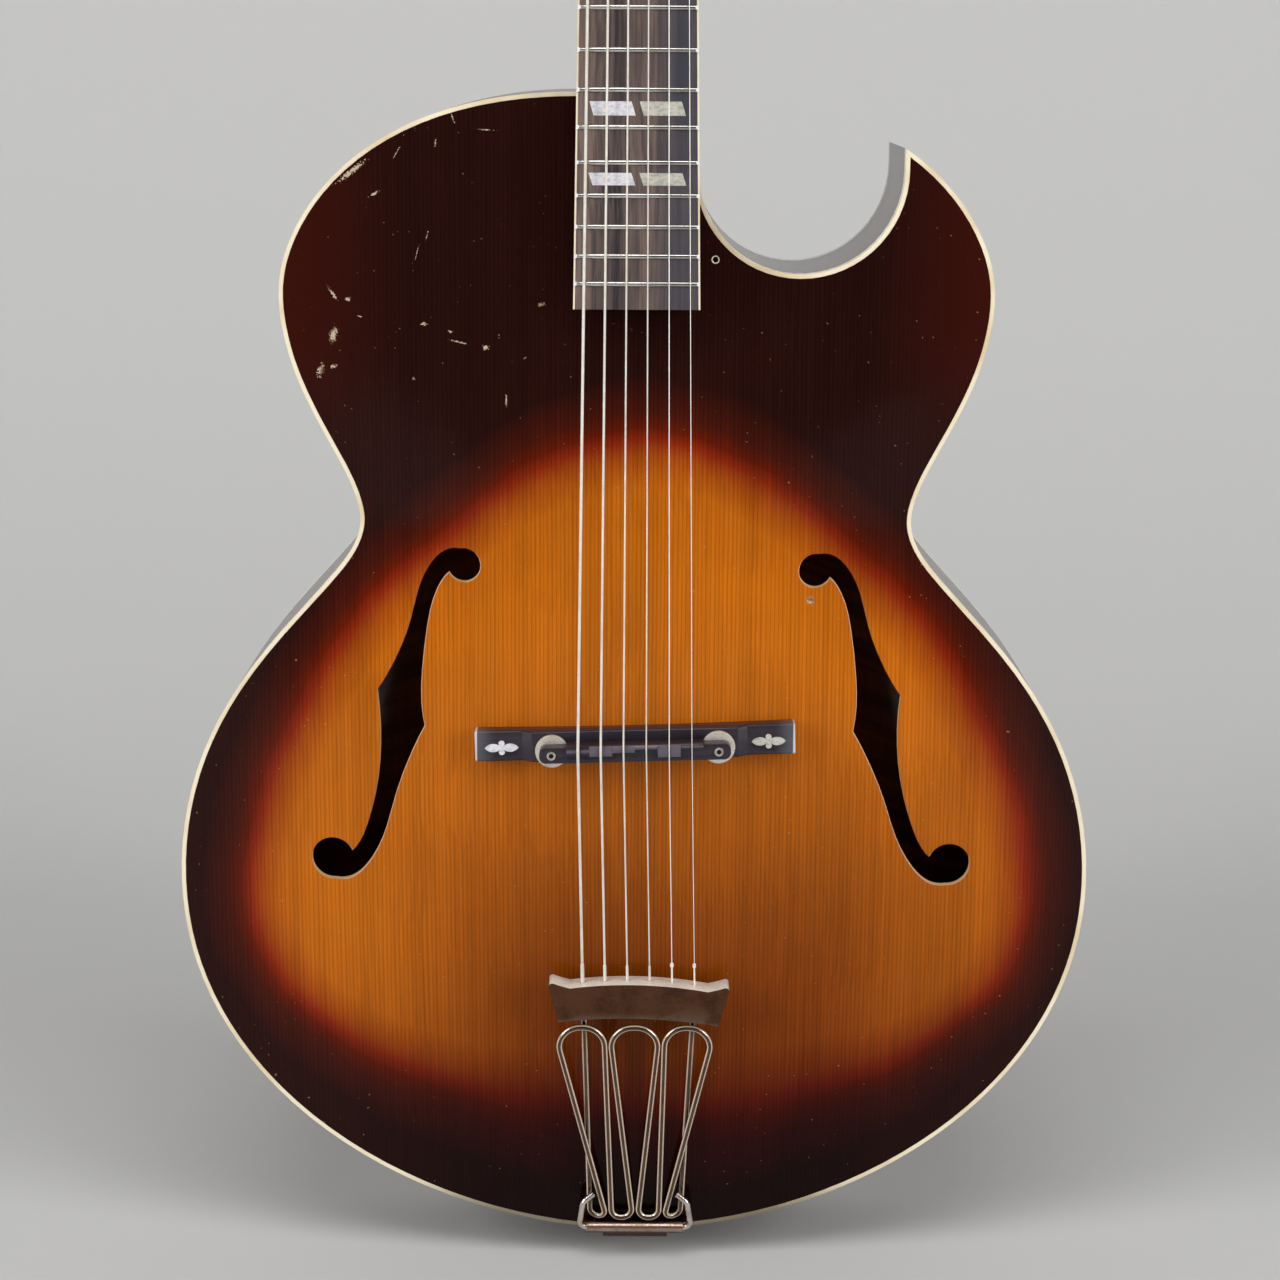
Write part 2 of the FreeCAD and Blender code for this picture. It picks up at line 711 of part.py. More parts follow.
# Fret: a round crown filed to a slope at both ends, over a tang that stops short of the binding
def fret(z):
    half, tang, seat = FRET_WIDTH / 2, TANG_WIDTH / 2, -GLUE / 2
    back, front = Vector(0, seat, z - half), Vector(0, seat, z + half)
    crown = round_bar(z, [arc_edge(back, Vector(0, -FRET_HEIGHT, z), front), line_edge(front, back)])
    edge = board_half(z) - FRET_END_GAP
    foot, top = board_crown(edge), -2 * FRET_HEIGHT
    inner = edge - (foot - top) * FRET_END_RUN
    low = z - FRET_WIDTH
    right = [Vector(edge, TANG_DEPTH, low), Vector(edge, foot, low), Vector(inner, top, low)]
    left = [Vector(-p.x, p.y, p.z) for p in reversed(right)]
    ends = polygon_face(right + left)
    crown = crown.common(ends.extrude(Vector(0, 0, 2 * FRET_WIDTH)))
    corners = [Vector(0, -FRET_HEIGHT / 2, z + tang), Vector(0, TANG_DEPTH, z + tang),
               Vector(0, TANG_DEPTH, z - tang), Vector(0, -FRET_HEIGHT / 2, z - tang)]
    stem = round_bar(z, [line_edge(a, b) for a, b in zip(corners, corners[1:] + corners[:1])])
    stem = stem.common(board_prism(BOARD_BINDING + GLUE, -OVERCUT, BOARD_THICKNESS))
    return crown.fuse(stem)


def slot_profile(z):
    half, deep = TANG_WIDTH / 2 + GLUE, TANG_DEPTH + GLUE
    corners = [Vector(0, -OVERCUT, z + half), Vector(0, deep, z + half),
               Vector(0, deep, z - half), Vector(0, -OVERCUT, z - half)]
    return [line_edge(a, b) for a, b in zip(corners, corners[1:] + corners[:1])]


def inlay_prism(number, side, grow):
    high, low = fret_place(number - 1), fret_place(number)
    tall = (high - low) * INLAY_SHARE
    middle = (high + low) / 2
    bottom, top = middle - tall / 2 - grow, middle + tall / 2 + grow
    wide = board_half(middle) - INLAY_MARGIN
    near, far = INLAY_GAP / 2 - grow, wide + grow
    left, right = (near, far) if side > 0 else (-far, -near)
    lean = INLAY_SLANT / 2
    above = -OVERCUT
    face = polygon_face([Vector(left + lean, above, bottom), Vector(right + lean, above, bottom),
                         Vector(right - lean, above, top), Vector(left - lean, above, top)])
    return face.extrude(Vector(0, INLAY_DEPTH + grow - above, 0))


def fingerboard():
    blank = board_blank()
    below = BOARD_THICKNESS + OVERCUT
    middle = blank.common(board_prism(BOARD_BINDING + GLUE, -OVERCUT, below))
    core = board_prism(BOARD_BINDING, -OVERCUT, below, BOARD_END - OVERCUT, NUT_L + OVERCUT)
    binding = blank.cut(core).Solids
    board = middle
    frets, inlays = [], []
    for number in range(1, FRET_COUNT + 1):
        z = fret_place(number)
        frets.append(fret(z))
        board = board.cut(round_bar(z, slot_profile(z)))
    for number in INLAY_FRETS:
        for side in (-1, 1):
            inlays.append(middle.common(inlay_prism(number, side, 0)))
            board = board.cut(inlay_prism(number, side, GLUE))
    return board, binding, frets, inlays


def neck_section(z, depth, narrow):
    half = board_half(z) - GLUE
    top = BOARD_THICKNESS + GLUE
    shape = ((1, 0), ((1 + narrow) / 2, NECK_CHEEK), (narrow, NECK_HIP), (0, 1))
    right = [Vector(half * x, top + depth * y, z) for x, y in shape]
    left = [Vector(-p.x, p.y, p.z) for p in reversed(right[:-1])]
    return Part.Wire([curve_edge(right + left), line_edge(left[-1], right[0])])


# Neck shaft, and a heel whose depth swells towards the body in a swept curve
def neck_shaft():
    heel_depth = BOARD_RISE + RIM_DEPTH - BOARD_THICKNESS + SIDE_THICKNESS
    sweep_end = HEEL_LENGTH + HEEL_SWEEP
    sections = [neck_section(-SIDE_THICKNESS, heel_depth, HEEL_NARROWING)]
    for step in range(HEEL_SECTIONS + 1):
        share = step / HEEL_SECTIONS
        deep = NECK_DEPTH_HEEL + (heel_depth - NECK_DEPTH_HEEL) * (1 - share) ** HEEL_SWEEP_POWER
        narrow = HEEL_NARROWING + (NECK_FULLNESS - HEEL_NARROWING) * share
        sections.append(neck_section(HEEL_LENGTH + HEEL_SWEEP * share, deep, narrow))
    heel = Part.makeLoft(sections, True, False)
    nut_end = neck_section(NUT_L + NUT_THICKNESS, NECK_DEPTH_NUT, NECK_FULLNESS)
    shaft = Part.makeLoft([neck_section(sweep_end, NECK_DEPTH_HEEL, NECK_FULLNESS), nut_end], True, True)
    return heel.fuse(shaft)


# Head frame: on the veneer's face behind the nut, y into the wood, z towards the tip
def to_head(shape):
    shape = shape.copy()
    shape.rotate(ORIGIN, X_AXIS, -HEAD_ANGLE)
    shape.translate(Vector(0, HEAD_DROP, NUT_L + NUT_THICKNESS))
    return to_neck(shape)


def head_point(point):
    turned = FreeCAD.Rotation(X_AXIS, -HEAD_ANGLE).multVec(point)
    return neck_point(turned + Vector(0, HEAD_DROP, NUT_L + NUT_THICKNESS))


def head_prism(start, y0, y1):
    root = board_half(NUT_L) - GLUE
    shoulder, tip = HEAD_SHOULDER_WIDTH / 2, HEAD_TOP_WIDTH / 2
    flare, corner = FIRST_POST - BUSHING_FLANGE, HEAD_LENGTH - HEAD_CORNER_DROP
    right = [Vector(root, y0, start), Vector(root, y0, HEAD_STRAIGHT),
             Vector(shoulder, y0, flare), Vector(tip, y0, corner)]
    left = [Vector(-p.x, p.y, p.z) for p in right]
    middle = (HEAD_STRAIGHT + flare) / 2
    flare_right = [right[1], Vector((root + shoulder) / 2, y0, middle), right[2]]
    flare_left = [Vector(-p.x, p.y, p.z) for p in reversed(flare_right)]
    edges = [line_edge(left[0], right[0]), line_edge(right[0], right[1]), curve_edge(flare_right),
             line_edge(right[2], right[3]), arc_edge(right[3], Vector(0, y0, HEAD_LENGTH), left[3]),
             line_edge(left[3], left[2]), curve_edge(flare_left), line_edge(left[1], left[0])]
    return flat_face(edges).extrude(Vector(0, y1 - y0, 0))


def post_place(number):
    row = number if number < STRINGS / 2 else STRINGS - 1 - number
    side = 1 if number < STRINGS / 2 else -1
    return side, side * (FIRST_POST_X + row * POST_X_STEP), FIRST_POST + row * POST_SPACING


def screw_places():
    return (-HOUSING_TAIL - EAR_LENGTH / 2, HOUSING_NOSE + EAR_LENGTH / 2)


# Tuner frame: on the post's axis at the head's back, x towards the button, y away from the head
def to_tuner(shape, number):
    side, x, z = post_place(number)
    shape = shape.copy()
    if side < 0:
        shape.rotate(ORIGIN, Y_AXIS, 180)
    shape.translate(Vector(x, HEAD_THICKNESS, z))
    return to_head(shape)


def post_bore(number):
    bore = rod(Vector(0, -2 * HEAD_THICKNESS, 0), Vector(0, OVERCUT, 0), BUSHING_RADIUS + GLUE)
    return to_tuner(bore, number)


# Pilot hole for a screw whose head sits at a place
def pilot(place, inwards):
    return rod(place - inwards * OVERCUT, place + inwards * (SCREW_LENGTH + PILOT_SPARE), SCREW_SHANK + GLUE)


def cover_screw_place():
    return Vector(0, -COVER_THICKNESS, TRUSS_POCKET_LENGTH + TRUSS_CLEARANCE + SCREW_HEAD)


def head_holes():
    holes = [to_head(pilot(cover_screw_place(), Y_AXIS))]
    for number in range(STRINGS):
        holes.append(post_bore(number))
        for z in screw_places():
            holes.append(to_tuner(pilot(Vector(0, EAR_THICKNESS, z), -Y_AXIS), number))
    return holes


def truss_space():
    half = TRUSS_ROD_RADIUS + TRUSS_CLEARANCE
    deep = BOARD_THICKNESS + TRUSS_ROD_DROP + half
    end = NUT_L + TRUSS_POCKET_LENGTH / 2
    channel = block(-half, half, -BOARD_THICKNESS, deep, -TENON_LENGTH / 2, end)
    channel = channel.cut(block(-FAR, FAR, -FAR, BOARD_THICKNESS, NUT_L - GLUE, NUT_L + NUT_THICKNESS))
    wide = TRUSS_NUT_RADIUS + TRUSS_CLEARANCE
    pocket_deep = HEAD_THICKNESS - 2 * VENEER_THICKNESS
    pocket = block(-wide, wide, -OVERCUT, pocket_deep, GLUE, TRUSS_POCKET_LENGTH)
    return to_neck(channel).fuse(to_head(pocket))


def neck():
    shaft = to_neck(neck_shaft())
    under = BOARD_THICKNESS + GLUE
    start = BOARD_END + EXTENSION_SETBACK
    extension = board_prism(EXTENSION_INSET, under, BOARD_THICKNESS + EXTENSION_DEPTH, start, HEEL_LENGTH)
    body_side = block(-FAR, FAR, FRONT - HEEL_SEAT, FAR, 0, BODY_LENGTH + GLUE)
    cap_level = BACK - HEEL_CAP
    heel = shaft.cut(body_side)
    cap = heel.common(block(-FAR, FAR, cap_level, BACK, 0, FAR))
    heel = heel.cut(block(-FAR, FAR, cap_level - GLUE, FAR, 0, BODY_LENGTH + HEEL_LENGTH + HEEL_SWEEP))
    whole = heel.fuse(to_neck(extension)).fuse(tenon(0))
    behind_nut = NUT_THICKNESS * 2
    whole = whole.fuse(to_head(head_prism(-behind_nut, VENEER_THICKNESS + GLUE, HEAD_THICKNESS)))
    above = to_neck(block(-FAR, FAR, -FAR, under, -FAR, NUT_L + NUT_THICKNESS))
    whole = whole.cut(above).cut(truss_space())
    for hole in head_holes():
        whole = whole.cut(hole)
    return one_solid(whole.removeSplitter()), cap


def veneer():
    start = GLUE + VENEER_THICKNESS * math.tan(math.radians(HEAD_ANGLE))
    plate = to_head(head_prism(start, 0, VENEER_THICKNESS)).cut(truss_space())
    for number in range(STRINGS):
        plate = plate.cut(post_bore(number))
    return plate.cut(to_head(pilot(cover_screw_place(), Y_AXIS)))


def truss_rod():
    y = BOARD_THICKNESS + TRUSS_ROD_DROP
    end = NUT_L + TRUSS_POCKET_LENGTH / 2
    bar = rod(Vector(0, y, -TENON_LENGTH / 2 + TRUSS_CLEARANCE), Vector(0, y, end), TRUSS_ROD_RADIUS)
    start = NUT_L + NUT_THICKNESS + TRUSS_CLEARANCE * 2
    corners = [Vector(TRUSS_NUT_RADIUS * math.cos(math.radians(60 * i)),
                      y + TRUSS_NUT_RADIUS * math.sin(math.radians(60 * i)), start) for i in range(6)]
    hexagon = polygon_face(corners).extrude(Vector(0, 0, TRUSS_NUT_LENGTH))
    return to_neck(bar.fuse(hexagon))


def truss_cover():
    y, wide, tip = -COVER_THICKNESS - GLUE, COVER_WIDTH / 2, COVER_TIP_WIDTH / 2
    foot = Vector(wide, y, COVER_GAP)
    waist = Vector(tip * COVER_WAIST, y, COVER_LENGTH * COVER_WAIST_HEIGHT)
    shoulder = Vector(tip, y, COVER_LENGTH - tip)
    left = [Vector(-p.x, p.y, p.z) for p in (foot, waist, shoulder)]
    edges = [line_edge(left[0], foot), arc_edge(foot, waist, shoulder),
             arc_edge(shoulder, Vector(0, y, COVER_LENGTH), left[2]), arc_edge(left[2], left[1], left[0])]
    plate = flat_face(edges).extrude(Vector(0, COVER_THICKNESS, 0))
    return to_head(plate.cut(pilot(cover_screw_place(), Y_AXIS)))


def nut_x(number):
    return NUT_STRING_SPREAD / 2 - number * NUT_STRING_SPREAD / (STRINGS - 1)


def board_crown(x):
    return BOARD_RADIUS - math.sqrt(BOARD_RADIUS ** 2 - x ** 2)


def nut_level(number):
    return board_crown(nut_x(number)) - NUT_ACTION


def nut():
    rise = NUT_ACTION + STRING_DIAMETERS[-1] / 2
    low, high = NUT_L - OVERCUT, NUT_L + NUT_THICKNESS + OVERCUT
    blank = board_prism(GLUE, -rise, BOARD_THICKNESS, NUT_L + GLUE, NUT_L + NUT_THICKNESS - GLUE)
    dome = rod(Vector(0, BOARD_RADIUS, low), Vector(0, BOARD_RADIUS, high), BOARD_RADIUS + rise)
    bone = blank.common(dome)
    bone = to_neck(bone)
    for number, diameter in enumerate(STRING_DIAMETERS):
        x, y = nut_x(number), nut_level(number) - diameter / 2
        half = diameter / 2 + NUT_SLOT_EASE
        open_top = block(x - half, x + half, y - 2 * rise, y, low, high)
        bone = bone.cut(string_groove(number)).cut(to_neck(open_top))
    return bone


# Tuners: a single-start worm on the button's shaft turns a toothed wheel on the post
def tuner_gear():
    tip = GEAR_PITCH_RADIUS + GEAR_TIP
    wheel = rod(Vector(0, GEAR_LEVEL, 0), Vector(0, GEAR_LEVEL + GEAR_WIDTH, 0), tip)
    for tooth in range(GEAR_TEETH):
        slot = block(-GEAR_SLOT / 2, GEAR_SLOT / 2, GEAR_LEVEL - OVERCUT, GEAR_LEVEL + GEAR_WIDTH + OVERCUT,
                     GEAR_PITCH_RADIUS - GEAR_ROOT, 2 * tip)
        slot.rotate(ORIGIN, Y_AXIS, 360 * (tooth + 0.5) / GEAR_TEETH)
        wheel = wheel.cut(slot)
    return wheel


def tuner_post():
    top = -HEAD_THICKNESS - POST_STAND
    post = rod(Vector(0, top, 0), Vector(0, GEAR_LEVEL + GEAR_WIDTH / 2, 0), POST_RADIUS)
    hole_level = -HEAD_THICKNESS - POST_HOLE_LEVEL
    hole = rod(Vector(-FAR, hole_level, 0), Vector(FAR, hole_level, 0), POST_HOLE_RADIUS)
    return post.cut(hole).fuse(tuner_gear())


def on_worm(x):
    return Vector(x, GEAR_LEVEL + GEAR_WIDTH / 2, WORM_OFFSET)


def tuner_worm():
    pitch = 2 * math.pi * GEAR_PITCH_RADIUS / GEAR_TEETH
    start = Vector(0, pitch * WORM_TURNS / 2, 0)
    edges = helix_edges(start, WORM_HELIX_RADIUS, pitch, WORM_TURNS, math.pi / 2, 1)[0]
    thread = tube(Part.Wire(edges), WORM_WIRE)
    thread.rotate(ORIGIN, Z_AXIS, -90)
    thread.translate(on_worm(0))
    core = rod(on_worm(-HOUSING_HALF + HOUSING_WALL / 2), on_worm(HOUSING_HALF), WORM_CORE)
    neck_start = pitch * WORM_TURNS / 2 + 2 * WORM_WIRE
    shaft = rod(on_worm(neck_start), on_worm(SHAFT_REACH), SHAFT_RADIUS)
    return core.fuse(shaft).fuse(thread)


def tuner_button():
    centre = on_worm(BUTTON_START + BUTTON_LENGTH / 2) - Y_AXIS * BUTTON_THICKNESS / 2
    oval = Part.Ellipse(centre + X_AXIS * BUTTON_LENGTH / 2, centre + Z_AXIS * BUTTON_WIDTH / 2, centre)
    knob = flat_face([oval.toShape()]).extrude(Vector(0, BUTTON_THICKNESS, 0))
    knob = knob.makeFillet(BUTTON_ROUNDING, knob.Edges[:1] + knob.Edges[2:])
    collar_start, collar_end = BUTTON_START - COLLAR_LENGTH / 2, BUTTON_START + COLLAR_LENGTH
    collar = rod(on_worm(collar_start), on_worm(collar_end), COLLAR_RADIUS)
    bore = rod(on_worm(0), on_worm(SHAFT_REACH + GLUE), SHAFT_RADIUS + GLUE)
    return knob.fuse(collar).cut(bore)


def tuner_housing():
    outer = block(-HOUSING_HALF, HOUSING_HALF, GLUE, HOUSING_DEPTH, -HOUSING_TAIL, HOUSING_NOSE)
    back_edges = [e for e in outer.Edges if e.BoundBox.YMin > HOUSING_DEPTH / 2]
    outer = outer.makeFillet(HOUSING_ROUNDING, back_edges)
    wide, tail, nose = HOUSING_HALF - HOUSING_WALL, HOUSING_TAIL - HOUSING_WALL, HOUSING_NOSE - HOUSING_WALL
    shell = outer.cut(block(-wide, wide, 0, HOUSING_DEPTH - HOUSING_WALL, -tail, nose))
    half = EAR_WIDTH / 2
    for start, end in ((-HOUSING_TAIL - EAR_LENGTH, -tail), (nose, HOUSING_NOSE + EAR_LENGTH)):
        shell = shell.fuse(block(-half, half, GLUE, EAR_THICKNESS, start, end))
    shell = shell.cut(rod(on_worm(0), on_worm(2 * HOUSING_HALF), SHAFT_RADIUS + RUNNING_FIT))
    shell = shell.cut(rod(on_worm(0), on_worm(-2 * HOUSING_HALF), WORM_CORE + RUNNING_FIT))
    for z in screw_places():
        shell = shell.cut(pilot(Vector(0, EAR_THICKNESS, z), -Y_AXIS))
    return shell


def tuner_bushing():
    face = -HEAD_THICKNESS
    lip = rod(Vector(0, face - BUSHING_LIP, 0), Vector(0, face - GLUE, 0), BUSHING_FLANGE)
    sleeve = rod(Vector(0, face - BUSHING_LIP, 0), Vector(0, face + BUSHING_LENGTH, 0), BUSHING_RADIUS)
    bore = rod(Vector(0, 2 * face, 0), Vector(0, HEAD_THICKNESS, 0), POST_RADIUS + RUNNING_FIT)
    return lip.fuse(sleeve).cut(bore)


def screw(place, inwards):
    start = place - inwards * SCREW_HEAD_HEIGHT
    head = Part.makeCone(SCREW_HEAD * SCREW_SLOPE, SCREW_HEAD, SCREW_HEAD_HEIGHT, start, inwards)
    return head.fuse(rod(place - inwards * GLUE, place + inwards * (SCREW_LENGTH - GLUE), SCREW_SHANK))


def head_screws():
    screws = [to_head(screw(cover_screw_place() - Y_AXIS * 2 * GLUE, Y_AXIS))]
    for number in range(STRINGS):
        for z in screw_places():
            screws.append(to_tuner(screw(Vector(0, EAR_THICKNESS + GLUE, z), -Y_AXIS), number))
    return screws


# Bridge frame: on the bridge's centre line at the rim's level, turned a little for the strings' lengths
def to_bridge(shape):
    shape = shape.copy()
    shape.rotate(ORIGIN, Y_AXIS, -BRIDGE_TILT)
    shape.translate(Vector(BRIDGE_X, FRONT, BRIDGE_Z))
    return shape


def bridge_point(point):
    turned = FreeCAD.Rotation(Y_AXIS, -BRIDGE_TILT).multVec(point)
    return turned + Vector(BRIDGE_X, FRONT, BRIDGE_Z)


def ornament(side, grow):
    leaves = []
    reach = ORNAMENT_LEAF + grow
    half = ORNAMENT_LEAF_WIDTH / 2 + grow
    for way in (-1, 1):
        root, tip = Vector(0, 0, 0), Vector(way * reach, 0, 0)
        swell = way * reach * ORNAMENT_SWELL
        edges = [arc_edge(root, Vector(swell, 0, half), tip), arc_edge(tip, Vector(swell, 0, -half), root)]
        leaves.append(flat_face(edges))
        lobe = Part.makeCircle(ORNAMENT_LOBE + grow, Vector(0, 0, way * ORNAMENT_LOBE_OFFSET), Y_AXIS)
        leaves.append(Part.Face(Part.Wire(lobe)))
    deep = Vector(0, ORNAMENT_DEPTH + grow, 0)
    solid = leaves[0].extrude(deep)
    for leaf in leaves[1:]:
        solid = solid.fuse(leaf.extrude(deep))
    heart = rod(ORIGIN, deep, ORNAMENT_LOBE + grow)
    solid = solid.fuse(heart)
    solid.translate(Vector(side * ORNAMENT_X, -BASE_WING_RISE, ORNAMENT_OFFSET))
    return to_bridge(solid)


def bridge_post_places():
    return (-BRIDGE_POST_SPAN / 2, BRIDGE_POST_SPAN / 2)


def bridge_post(x, clearance):
    low, high = Vector(x, -BASE_RISE + BRIDGE_POST_BELOW, 0), Vector(x, -BRIDGE_POST_TOP, 0)
    return rod(low, high, BRIDGE_POST_RADIUS + clearance)


def bridge_base():
    half, middle, back = BASE_LENGTH / 2, BASE_CENTRE_LENGTH / 2, BASE_OFFSET - BASE_WIDTH / 2
    right = [Vector(middle - BASE_SLOPE / 2, -BASE_RISE, back),
             Vector(middle + BASE_SLOPE / 2, -BASE_WING_RISE, back),
             Vector(half, -BASE_WING_RISE, back), Vector(half, 0, back)]
    left = [Vector(-p.x, p.y, p.z) for p in reversed(right)]
    face = polygon_face(left + right)
    wood = face.extrude(Vector(0, 0, BASE_WIDTH))
    wood = wood.makeChamfer(BASE_CHAMFER, wood.Edges)
    wood = to_bridge(wood).cut(slab(TOP_FACE, -GLUE, RIM_DEPTH))
    for x in bridge_post_places():
        wood = wood.cut(to_bridge(bridge_post(x, GLUE)))
    for side in (-1, 1):
        wood = wood.cut(ornament(side, ORNAMENT_FIT))
    return wood


def thumbwheel(x):
    low = BASE_RISE + WHEEL_LIFT
    corners = []
    for step in range(2 * WHEEL_TEETH):
        radius = WHEEL_RADIUS - WHEEL_KNURL * (step % 2)
        angle = math.pi * step / WHEEL_TEETH
        corners.append(Vector(x + radius * math.cos(angle), -low - WHEEL_THICKNESS, radius * math.sin(angle)))
    disc = polygon_face(corners).extrude(Vector(0, WHEEL_THICKNESS, 0))
    return to_bridge(disc.cut(bridge_post(x, RUNNING_FIT)))


def bridge_x(number):
    return BRIDGE_SPREAD / 2 - number * BRIDGE_SPREAD / (STRINGS - 1)


def ridge_level(number):
    return SADDLE_RISE - board_crown(bridge_x(number))


def bearing_z(number):
    return (RIDGE_STEPS[number] + RIDGE_FRONT) / 2


# Ridge under one string: a low roof with its crest at the string's bearing
def saddle_ridge(number, low):
    x, crest = bridge_x(number), -ridge_level(number)
    step = BRIDGE_SPREAD / (STRINGS - 1) / 2
    eaves, back = crest + RIDGE_FALL, RIDGE_STEPS[number]
    corners = [(-low, back), (eaves, back), (crest, bearing_z(number)),
               (eaves, RIDGE_FRONT), (-low, RIDGE_FRONT)]
    return polygon_face([Vector(x - step, y, z) for y, z in corners]).extrude(Vector(2 * step, 0, 0))


def bridge_saddle():
    low = BASE_RISE + WHEEL_LIFT + WHEEL_THICKNESS + SADDLE_GAP
    half, wide = SADDLE_LENGTH / 2, SADDLE_WIDTH / 2
    bar = block(-half, half, -SADDLE_SHELF, -low, -wide, wide)
    upright = [e for e in bar.Edges if e.BoundBox.YLength > SADDLE_GAP]
    bar = bar.makeFillet(SADDLE_ROUNDING, upright)
    for number in range(STRINGS):
        bar = bar.fuse(saddle_ridge(number, low))
    for x in bridge_post_places():
        bar = bar.cut(bridge_post(x, SADDLE_FIT))
    bar = to_bridge(bar.removeSplitter())
    for number in range(STRINGS):
        bar = bar.cut(string_groove(number))
    return bar


# Tailpiece frame: on the hinge's axis, z along the wires to the bar, y towards the soundboard
def to_tailpiece(shape):
    shape = shape.copy()
    shape.rotate(ORIGIN, X_AXIS, TAILPIECE_ANGLE)
    shape.translate(Vector(TAILPIECE_X, FRONT - HINGE_RISE, HINGE_HEIGHT))
    return shape


def tailpiece_point(point):
    turned = FreeCAD.Rotation(X_AXIS, TAILPIECE_ANGLE).multVec(point)
    return turned + Vector(TAILPIECE_X, FRONT - HINGE_RISE, HINGE_HEIGHT)


def tail_x(number):
    return TAIL_SPREAD / 2 - number * TAIL_SPREAD / (STRINGS - 1)


# Bar frame: shifted and turned a little about the bar's middle, as the strings hold it
def to_bar(shape):
    shape = shape.copy()
    shape.rotate(Vector(0, 0, BAR_MIDDLE), Y_AXIS, BAR_TURN)
    shape.translate(Vector(BAR_SHIFT, 0, 0))
    return to_tailpiece(shape)


def bar_point(point):
    middle = Vector(0, 0, BAR_MIDDLE)
    turned = FreeCAD.Rotation(Y_AXIS, BAR_TURN).multVec(point - middle)
    return tailpiece_point(middle + turned + Vector(BAR_SHIFT, 0, 0))


def wire_rod(side):
    foot = Vector(side * ROD_X, WIRE_BACK, WIRE_BOTTOM)
    return foot, Vector(side * ROD_TOP_X + BAR_SHIFT, ROD_BACK, ROD_TOP)


def tailpiece_bar():
    y = -BAR_THICKNESS / 2

    def at(point, side=1):
        return Vector(side * point[0], y, point[1])

    edges = [arc_edge(at(BAR_DIP, -1), Vector(0, y, BAR_TOP_CENTRE), at(BAR_DIP)),
             arc_edge(at(BAR_DIP), at(BAR_LIP), at(BAR_TIP)),
             arc_edge(at(BAR_TIP), at(BAR_SIDE), at(BAR_FOOT)),
             arc_edge(at(BAR_FOOT), Vector(0, y, BAR_FOOT_CENTRE), at(BAR_FOOT, -1)),
             arc_edge(at(BAR_FOOT, -1), at(BAR_SIDE, -1), at(BAR_TIP, -1)),
             arc_edge(at(BAR_TIP, -1), at(BAR_LIP, -1), at(BAR_DIP, -1))]
    bar = flat_face(edges).extrude(Vector(0, BAR_THICKNESS, 0))
    ears = [e for e in bar.Edges if e.BoundBox.YLength > -y and abs(e.BoundBox.Center.x) > BAR_SIDE[0]]
    bar = bar.makeFillet(BAR_EAR_ROUNDING, ears)
    bar = to_bar(bar.cut(block(-BAR_CAVITY_HALF, BAR_CAVITY_HALF, -BAR_CAVITY_FRONT, BAR_THICKNESS,
                               BAR_CAVITY_BOTTOM, BAR_CAVITY_TOP)))
    for number, diameter in enumerate(STRING_DIAMETERS):
        ball, saddle = string_path(number)[:2]
        bar = bar.cut(rod(ball, saddle, diameter / 2 + STRING_HOLE_CLEARANCE))
    for side in (-1, 1):
        foot, top = wire_rod(side)
        deeper = top + (top - foot).normalize() * GLUE
        bar = bar.cut(to_tailpiece(rod(foot, deeper, WIRE_RADIUS + GLUE)))
    return bar


# One wire: down the bass rod, round its curl, through three loops and back up the treble rod
def tailpiece_wire():
    half = [(-CURL_X, WIRE_BOTTOM, CURL_FRONT_BEND), (-LOOP_OUTER_X, WIRE_TOP, LOOP_BEND),
            (-LOOP_INNER_X, WIRE_TOP, LOOP_BEND), (-FOOT_OUTER_X, WIRE_BOTTOM, FOOT_BEND),
            (-FOOT_INNER_X, WIRE_BOTTOM, FOOT_BEND), (-LOOP_CENTRE_X, WIRE_TOP, LOOP_BEND)]
    loops = half + [(-x, z, bend) for x, z, bend in reversed(half)]
    lean = LOOP_SHIFT / (WIRE_TOP - WIRE_BOTTOM)
    points = [Vector(x + lean * (z - WIRE_BOTTOM), 0, z) for x, z, bend in loops]
    bends = [CURL_BACK_BEND] + [bend for x, z, bend in loops] + [CURL_BACK_BEND]
    foot_bass, top_bass = wire_rod(-1)
    foot_treble, top_treble = wire_rod(1)
    path = bent_path([top_bass, foot_bass] + points + [foot_treble, top_treble], bends)
    return to_tailpiece(tube(path, WIRE_RADIUS))


def hinge_pin():
    end_x, end_z = HOOK_END
    knee_x, knee_z = HOOK_KNEE
    half = [(-end_x, WIRE_RADIUS - HOOK_FRONT, end_z), (-knee_x, -HOOK_FRONT, knee_z), (-PIN_REACH, 0, 0)]
    points = [Vector(*p) for p in half] + [Vector(-x, y, z) for x, y, z in reversed(half)]
    bends = [PIN_BEND] * (len(points) - 2)
    return to_tailpiece(tube(bent_path(points, bends), WIRE_RADIUS))


def bracket_screw_places():
    outer = -BRACKET_THICKNESS - GLUE
    return [Vector(TAILPIECE_X + x, FRONT + drop, outer) for x, drop in BRACKET_SCREWS]


